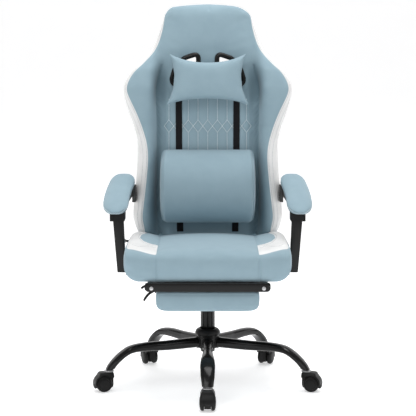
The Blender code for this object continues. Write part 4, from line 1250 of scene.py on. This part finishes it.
def arm_form(points, sign):
    """Rounded block bent along the arm's line, its ends narrowed and its nose thinned."""
    place = rounded(points, np.array([0.0405, 0.1345, 0.0165]), np.array([0.030, 0.044, 0.0165]),
                    np.array([0.024, 0.044, 0.0155]))
    y = place[:, 1] + 0.0115
    wide = 1 - 0.42 * np.clip((-y - 0.045) / 0.080, 0, 1)**2.2
    thick = np.interp(y, (-0.123, -0.10, -0.06, 0.0, 0.15), (0.62, 0.78, 0.92, 1.0, 1.0))
    x = arm_line(y) + place[:, 0] * wide
    z = arm_top(y) - 0.0015 + (place[:, 2] - 0.0165) * thick - 0.003 * ramp(-y, 0.07, 0.125)
    dome = 0.007 * np.clip(1 - (place[:, 0] / 0.0405)**2, 0, 1) * ramp(place[:, 2], -0.012, 0.012)
    z += dome * (0.35 + 0.65 * ramp(y, -0.12, 0.10))
    return np.stack([sign * x, y, z], axis=-1)


arm_points, arm_quads = block(18, 48, 8)
for side, sign in SIDES:
    arm = soft_object(f"arm_pad_cover_{side}", arm_form(arm_points, sign), arm_quads)
    arm_place = coordinates(arm.data)
    below = arm_top(arm_place[:, 1]) - arm_place[:, 2]
    arm_hold = np.maximum(np.exp(-((below - 0.017) / 0.004)**2), ramp(below, 0.026, 0.032))
    inflate(arm, arm_hold, 7.0, 0.005)
    refine(arm)
    arm_place = coordinates(arm.data)
    below = arm_top(arm_place[:, 1]) - arm_place[:, 2]
    sink(arm, crease(below - 0.0165, 0.0026, 0.0026))
    # Painted shade: a dark band along the seam under the pad's top edge, stored for the cover to darken its
    # blue.
    store(arm.data, "painted_shade", crease(below - 0.0165, 0.0022, 0.45))
    arm.data.materials.append(plain_cover)
    fit(arm, f"arm_{side}", "blue_fabric", f"arm_pad_{side}")

# --- Quilting and border stitches -------------------------------------------------------------
# Pale thread in short raised stitches: the upright lines and diamonds of the middle panel, a row
# beside the white border's seam, and rows along the seat's seams.


def stitch_grid(points, across, radius, share=0.72):
    """Tapered six-sided stitches, one from each point of the path to the next; each covers that
    share of the way and lies on its side along the surface's normal across."""
    start, end = points[:-1], points[1:]
    lift = (across[:-1] + across[1:]) / 2
    lift /= np.linalg.norm(lift, axis=1, keepdims=True)
    along = end - start
    side = np.cross(along, lift)
    side /= np.linalg.norm(side, axis=1, keepdims=True)
    middle = (start + end) / 2
    angle = np.linspace(0, 2 * np.pi, 6, endpoint=False)
    rows = ((-0.5, 0.0), (-0.36, 1.0), (0.36, 1.0), (0.5, 0.0))
    grids = []
    for step, thick in rows:
        ring = np.cos(angle)[None, :, None] * side[:, None] + np.sin(angle)[None, :, None] * lift[:, None]
        grids.append(middle[:, None] + step * share * along[:, None] + radius * thick * ring)
    return list(np.stack(grids, axis=1))


THREAD_LIFT = 0.0001


def laid(tree, points, direction):
    """The points moved along direction onto the surface and lifted off it, with its normals."""
    hits, lifts = [], []
    for point in points:
        place, normal, _, _ = tree.ray_cast(Vector(point), Vector(direction))
        if place is not None:
            hits.append(place)
            lifts.append(normal)
    hits, lifts = np.array(hits), np.array(lifts)
    return hits + lifts * THREAD_LIFT, lifts


def even(points, pitch):
    """Points at that pitch along a path."""
    points = np.array(points, float)
    far = np.concatenate([[0], np.cumsum(np.linalg.norm(np.diff(points, axis=0), axis=1))])
    at = np.linspace(0, far[-1], max(int(far[-1] / pitch), 1) + 1)
    return np.stack([np.interp(at, far, points[:, k]) for k in range(3)], axis=-1)


def stitches(tree, path, direction, radius=0.0005, pitch=0.0045, share=0.72):
    """A row of stitches at that pitch, where the path falls on the surface."""
    on, lift = laid(tree, even(path, pitch), direction)
    return stitch_grid(on, lift, radius, share)


def tree_of(obj):
    """The finished surface of an object, ready for rays."""
    return BVHTree.FromObject(obj, bpy.context.evaluated_depsgraph_get())


def thread_of(name, colour):
    """Twisted polyester thread, a little shiny."""
    thread = Finish(name, 0.5, Sheen_Weight=0.2)
    twist = thread.noise(900.0, 1.0)
    thread.set("Base Color", thread.mix(twist, tuple(c * 0.85 for c in colour), colour))
    thread.set("Normal", thread.bump(twist, 0.0001, 0.5))
    return thread.material


pale_thread = thread_of("pale_blue_thread", (0.62, 0.72, 0.76))
grey_thread = thread_of("grey_thread", (0.44, 0.46, 0.48))
back_tree = tree_of(back)
FROM_FRONT, FROM_ABOVE = -0.6, 0.6
BACKWARD, DOWN = (0, 1, 0), (0, 0, -1)
quilt_runs = []
for k in range(-4, 5):
    x = k * LINE_PITCH
    low_z, high_z = DIAMOND_Z - DIAMOND_HALF, DIAMOND_Z + DIAMOND_HALF
    corners = [((x, 0.690), (x, low_z)), ((x, high_z), (x, 0.893))]
    for sx in (-0.5, 0.5):
        corners.append(((x, low_z), (x + sx * LINE_PITCH, DIAMOND_Z)))
        corners.append(((x, high_z), (x + sx * LINE_PITCH, DIAMOND_Z)))
    for (x0, z0), (x1, z1) in corners:
        path = [(x0, FROM_FRONT, z0), (x1, FROM_FRONT, z1)]
        quilt_runs += stitches(back_tree, path, BACKWARD, 0.00125, 0.0042, 0.90)
quilting = piece("quilting_thread", quilt_runs, pale_thread)
border_runs = []
for sign, beyond, high_z in ((-1, 0.0045, 1.150), (1, 0.0045, 1.150), (-1, 0.0165, 0.93), (1, 0.0165, 0.93)):
    heights = np.linspace(0.475, high_z, 160)
    path = np.stack([sign * (blue_edge_at(heights) + beyond), np.full(160, FROM_FRONT), heights], -1)
    border_runs += stitches(back_tree, path, BACKWARD, 0.00055)
border_thread = piece("back_border_thread", border_runs, grey_thread)
for row in (quilting, border_thread):
    fit(row, "back", "blue_fabric")

seat_tree = tree_of(seat)
seat_runs, hook_runs = [], []
for sign in (-1, 1):
    seam_x = sign * 0.1508
    path = [(seam_x, -0.225, FROM_ABOVE), (seam_x, 0.150, FROM_ABOVE)]
    seat_runs += stitches(seat_tree, path, DOWN)
    path = [(seam_x, FROM_FRONT, 0.440), (seam_x, FROM_FRONT, 0.376)]
    seat_runs += stitches(seat_tree, path, BACKWARD)
    patch = ((0.158, -0.117), (0.192, -0.112), (0.2035, -0.083), (0.2160, -0.020), (0.2145, 0.060),
             (0.2050, 0.140))
    path = smooth_line([(sign * x, y, FROM_ABOVE) for x, y in patch], 60)
    hook_runs += stitches(seat_tree, path, DOWN, 0.00055)
    wide = np.linspace(0.158, 0.228, 30)
    path = np.stack([sign * wide, FROM_FRONT + 0 * wide, 0.4560 + 0.013 * ramp(wide, 0.150, 0.235)], -1)
    hook_runs += stitches(seat_tree, path, BACKWARD, 0.00055)
seat_thread = piece("seat_seam_thread", seat_runs, thread_of("blue_thread", (0.22, 0.32, 0.38)))
hook_thread = piece("seat_hook_thread", hook_runs, grey_thread)
for row in (seat_thread, hook_thread):
    fit(row, "seat", "blue_fabric")

# --- Lumbar piping and arm stitching ----------------------------------------------------------
# A thin cord covered in the same cloth runs round each end of the lumbar pillow, and two close
# rows of thread follow the seam round the front of each arm pad.
lumbar_tree = tree_of(lumbar)
pipes = []
for sign in (-1, 1):
    turn = np.radians(np.linspace(-94, 94, 90))
    aim = np.stack([np.zeros(90), -np.cos(turn), np.sin(turn)], -1)
    start = (sign * (PIPING_X + 0.0003), back_face(LUMBAR_Z) - 0.030, LUMBAR_Z)
    hits = [lumbar_tree.ray_cast(Vector(np.array(start) + d * 0.3), Vector(-d))[0] for d in aim]
    pipes.append(capped(tube(np.array([h for h in hits if h is not None]), 0.0019, 10)))
lumbar_piping = piece("lumbar_piping", pipes, plain_cover)
fit(lumbar_piping, "lumbar_pillow_body", "blue_fabric")

for side, sign in SIDES:
    pad_tree = tree_of(bpy.data.objects[f"arm_pad_cover_{side}"])
    runs = []
    for drop in (0.0125, 0.0155):
        turn = np.radians(np.linspace(-178, -2, 80))
        aim = np.stack([np.cos(turn), np.sin(turn), np.zeros(80)], -1)
        middle = np.array((sign * arm_line(-0.078), -0.078, arm_top(-0.078) - drop))
        level = np.full(80, middle[2])
        for _ in range(3):
            origin = middle + aim * 0.2
            origin[:, 2] = level
            place = np.array([pad_tree.ray_cast(Vector(o), Vector(-a))[0] for o, a in zip(origin, aim)])
            level = arm_top(place[:, 1]) - drop - 0.003 * ramp(-place[:, 1], 0.07, 0.125)
        near = [pad_tree.find_nearest(Vector(p))[:2] for p in even(place, 0.0040)]
        on, lift = (np.array(column) for column in zip(*near))
        runs += stitch_grid(on + lift * THREAD_LIFT, lift, 0.0009)
    arm_thread = piece(f"arm_pad_thread_{side}", runs, pale_thread)
    fit(arm_thread, f"arm_{side}", "blue_fabric")

# --- Belt trims and straps --------------------------------------------------------------------
# Glossy moulded frames snap into both belt openings and line them right through the back. Two
# black woven straps run down the front, behind both pillows.


def gloss_plastic():
    """Polished black moulding with very slight waviness."""
    trim = Finish("polished_black_plastic", 0.26, Coat_Weight=0.12, Coat_Roughness=0.1)
    trim.set("Specular IOR Level", 0.2)
    wave = trim.noise(40.0, 2.0)
    trim.set("Base Color", trim.mix(wave, (0.004,) * 3, (0.007,) * 3))
    trim.set("Roughness", wave * 0.12 + 0.22)
    trim.set("Normal", trim.bump(wave, 0.0003, 0.25))
    return trim.material


def trim_grid(sign):
    """Closed section carried round the opening: a rolled lip in front, a liner, a rear lip."""
    loop = outline_loop(OPENING, 0.014) * (sign, 1)
    after, before = np.roll(loop, -1, axis=0), np.roll(loop, 1, axis=0)
    run = after - before
    run /= np.maximum(np.linalg.norm(run, axis=1, keepdims=True), 1e-9)
    inward = np.stack([-run[:, 1], run[:, 0]], axis=-1) * sign
    section = ((-0.0112, 0, 0.0015), (-0.0112, 0, -0.0022), (-0.0090, 0, -0.0056),
               (-0.0030, 0, -0.0074), (0.0020, 0, -0.0060), (0.0044, 0, -0.0026),
               (0.0048, 0, 0.0020), (0.0048, 1, -0.0010), (0.0036, 1, 0.0035),
               (-0.0020, 1, 0.0052), (-0.0085, 1, 0.0042), (-0.0105, 1, 0.0010),
               (-0.0010, 1, -0.0030), (-0.0010, 0, 0.0040))
    rows = []
    for depth, rear, dy in section + section[:1]:
        flat = loop + inward * depth
        y = (back_rear(flat[:, 1]) if rear else back_face(flat[:, 1])) + dy
        rows.append(np.stack([flat[:, 0], y, flat[:, 1]], axis=-1))
    return np.stack(rows)


gloss_trim = gloss_plastic()
for side, sign in SIDES:
    trim = piece(f"belt_frame_{side}", [trim_grid(sign)], gloss_trim, 60)
    fit(trim, "back", "gloss_trim", f"belt_trim_{side}")


def webbing():
    """Black polyester webbing: a close diagonal twill with slightly raised ribs."""
    web = Finish("black_webbing", 0.72)
    web.set("Specular IOR Level", 0.15)
    twill = web.add("ShaderNodeTexWave", {"bands_direction": "DIAGONAL"},
                    {"Vector": web.place, "Scale": 210.0, "Distortion": 0.8})
    ribs = web.add("ShaderNodeTexWave", {"bands_direction": "X"},
                   {"Vector": web.place, "Scale": 150.0, "Distortion": 0.3})
    weave = twill * 0.6 + ribs * 0.4
    web.set("Base Color", web.mix(weave, (0.004, 0.004, 0.005), (0.012, 0.012, 0.014)))
    web.set("Normal", web.bump(weave, 0.0003, 0.7))
    return web.material


strap_web = webbing()
for side, sign in SIDES:
    heights = np.linspace(0.459, 0.932, 90)
    middle = sign * np.interp(heights, (0.459, 0.70, 0.93), (0.0905, 0.0945, 0.0955))
    seen = []
    for dx in (-0.009, 0.0, 0.009):
        path = np.stack([middle + dx, np.full(90, FROM_FRONT), heights], -1)
        seen.append([back_tree.ray_cast(Vector(p), Vector((0, 1, 0)))[0][1] for p in path])
    level = np.convolve(np.pad(np.min(seen, axis=0), 4, mode="edge"), np.ones(9) / 9, "valid")
    ring = rounded_ring(0.0105, -0.0008, 0.0008, 0.0006, 3)
    grid = np.stack([middle[:, None] + ring[None, :, 0], level[:, None] - 0.0016 + ring[None, :, 1],
                     np.broadcast_to(heights[:, None], (90, len(ring)))], axis=-1)
    strap = piece(f"front_strap_{side}", [capped(grid)], strap_web)
    fit(strap, "back", "webbing", f"back_strap_{side}")

# --- Back brackets and recline lever ----------------------------------------------------------
# Flat steel brackets hold the back to the recline pivots; a bent rod with a thick nylon grip
# stands out on the right and frees the recliner.
for side, sign in SIDES:
    keep(f"back_bracket_{side}", powder, 0.0012)
pivots = [moved(hex_bolt(0.0065, 0.0045), facing((0.2249, 0.222, 0.425), (1, 0, 0)))]
pivots += [moved(hex_bolt(0.0045, 0.0035), facing((sign * 0.2249, 0.292, z), (sign, 0, 0)))
           for sign in (-1, 1) for z in (0.475, 0.535)]
pivot_bolts = piece("recline_bolts", pivots, bright_steel)
fit(pivot_bolts, "back", "steel")

recline_path = smooth_line(((-0.2254, 0.222, 0.425), (-0.250, 0.222, 0.425), (-0.264, 0.218, 0.4255),
                            (-0.2725, 0.206, 0.4275), (-0.2740, 0.185, 0.4305),
                            (-0.2743, 0.160, 0.4345), (-0.2745, 0.120, 0.4410)), 90)
recline_radius = np.interp(np.linspace(0, 1, 90), (0, 0.58, 0.60, 0.68, 0.80, 0.93, 0.98, 1),
                           (4.0, 4.0, 6.2, 7.2, 7.9, 7.4, 5.6, 2.5)) / 1000
recline = piece("recline_handle", [capped(tube(recline_path, recline_radius, 28))], nylon)
fit(recline, "recline_lever_body", "black_nylon", "recline_lever")

# --- Arm linkage ------------------------------------------------------------------------------
# Under each pad a moulded arm ends in a fork over a flat steel post, which turns on the seat's
# side; ribbed brackets carry the arms' rear pivots on the back.


def arm_plate_grid(sign):
    """Rounded sections along the arm: a thin lug, a bar under the pad, and the fork's cap."""
    stations = ((0.206, 0.2520, 0.0045, 0.580, 0.600), (0.200, 0.2520, 0.0045, 0.5765, 0.6050),
                (0.178, 0.2520, 0.0045, 0.575, 0.607), (0.150, 0.2550, 0.008, 0.577, 0.6215),
                (0.130, 0.258, 0.014, 0.580, 0.6180), (0.05, 0.2664, 0.016, 0.5715, 0.5920),
                (-0.020, 0.2737, 0.017, 0.550, 0.5708), (-0.026, 0.2743, 0.0200, 0.5555, 0.5690),
                (-0.030, 0.2747, 0.0225, 0.5553, 0.5680), (-0.085, 0.2775, 0.0225, 0.5550, 0.5600),
                (-0.094, 0.2785, 0.0215, 0.5530, 0.5575))
    rows = []
    for y, x, half, low, high in stations:
        ring = rounded_ring(half, low, high, min(0.003, (high - low) * 0.4, half * 0.5), 4)
        rows.append(np.stack([sign * (x + ring[:, 0]), y + 0 * ring[:, 0], ring[:, 1]], -1))
    return capped(np.stack(rows))


def cheek_grid(sign, place):
    """One upright cheek of the fork: a plate with a rounded foot, drawn in towards the foot."""
    rows = []
    for z, front, rear, half in ((0.5600, -0.088, -0.026, 0.0024), (0.5400, -0.090, -0.028, 0.0024),
                                 (0.5330, -0.088, -0.032, 0.0024), (0.5300, -0.084, -0.038, 0.0020),
                                 (0.5288, -0.079, -0.044, 0.0012)):
        deep, wide = squared(np.linspace(0, 2 * np.pi, 32, endpoint=False), 0.35)
        y = (front + rear) / 2 + (rear - front) / 2 * deep
        x = place + half * wide
        rows.append(np.stack([sign * x, y, np.full(32, z)], -1))
    return capped(np.stack(rows))


def apron_grid(sign):
    """The fork's front face, between its cheeks, with two small notches in its lower edge."""
    x = np.linspace(-0.0222, 0.0222, 60)
    foot = 0.5292 + 0.0030 * np.exp(-((np.abs(x) - 0.0095) / 0.0024)**8)
    high = np.full(60, 0.556)
    y = np.array((-0.0945, -0.0945, -0.0905, -0.0905)) + 0 * x[:, None]
    z = np.stack([foot, high, high, foot], axis=-1)
    return capped(np.stack([sign * (0.2785 + x)[:, None] + 0 * y, y, z], axis=-1))


def arm_post_grid(sign):
    """Flat post: rounded sections from its pivot at the seat up into the fork."""
    low, high = np.array((-0.030, 0.376)), np.array((-0.060, 0.541))
    length = np.linalg.norm(high - low)
    along = (high - low) / length
    across = np.array((along[1], -along[0]))
    rows = []
    for t, deep in ((-0.0140, 0.0068), (-0.0125, 0.0105), (-0.0080, 0.0128), (0.0, 0.0150),
                    (0.08, 0.0150), (length, 0.0125), (length + 0.008, 0.009),
                    (length + 0.0120, 0.0040)):
        half = 0.0132 + 0.0032 * t / length
        ring = rounded_ring(half, -deep, deep, 0.0022, 4)
        centre = low + along * t
        x = 0.2696 + 0.0074 * t / length + ring[:, 0]
        rows.append(np.stack([sign * x, centre[0] + across[0] * ring[:, 1],
                              centre[1] + across[1] * ring[:, 1]], -1))
    return capped(np.stack(rows))


rib_grey = nylon_black("grey_ribbed_nylon", 0.045)
for side, sign in SIDES:
    parts = [arm_plate_grid(sign), cheek_grid(sign, 0.2775 - 0.0201), cheek_grid(sign, 0.2775 + 0.0201)]
    bar = piece(f"arm_fork_{side}", parts, nylon)
    apron = piece(f"arm_fork_face_{side}", [apron_grid(sign)], nylon)
    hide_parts(f"arm_plate_{side}")
    for part in (bar, apron):
        fit(part, f"arm_{side}", "black_nylon")
    post = piece(f"arm_post_bar_{side}", [arm_post_grid(sign)], powder)
    fit(post, f"post_{side}", "black_paint", f"arm_post_{side}")
    keep(f"arm_bracket_{side}", nylon, 0.0012)
    cap_profile = ((0, 0), (0.0095, 0), (0.0095, 0.0042), (0.0080, 0.0052), (0.0055, 0.0052),
                   (0.0050, 0.0040), (0, 0.0040))
    cap_place = facing((sign * 0.2566, 0.192, 0.590), (sign, 0, 0))
    cap = piece(f"arm_pivot_cap_{side}", [moved(turned(cap_profile, 40), cap_place)], nylon)
    rows = []
    for k, z in enumerate(np.linspace(0.5600, 0.6160, 15)):
        ring = rounded_ring(0.0048 + 0.0020 * (k % 2), -0.0150, 0.0150, 0.0020, 3)
        rows.append(np.stack([sign * (0.2400 + ring[:, 0]), 0.1850 + ring[:, 1], np.full(len(ring), z)], -1))
    ribbed = piece(f"arm_bracket_ribs_{side}", [capped(np.stack(rows))], rib_grey, 15)
    fit(ribbed, "back", "black_nylon")
    fit(cap, f"arm_{side}", "black_nylon")
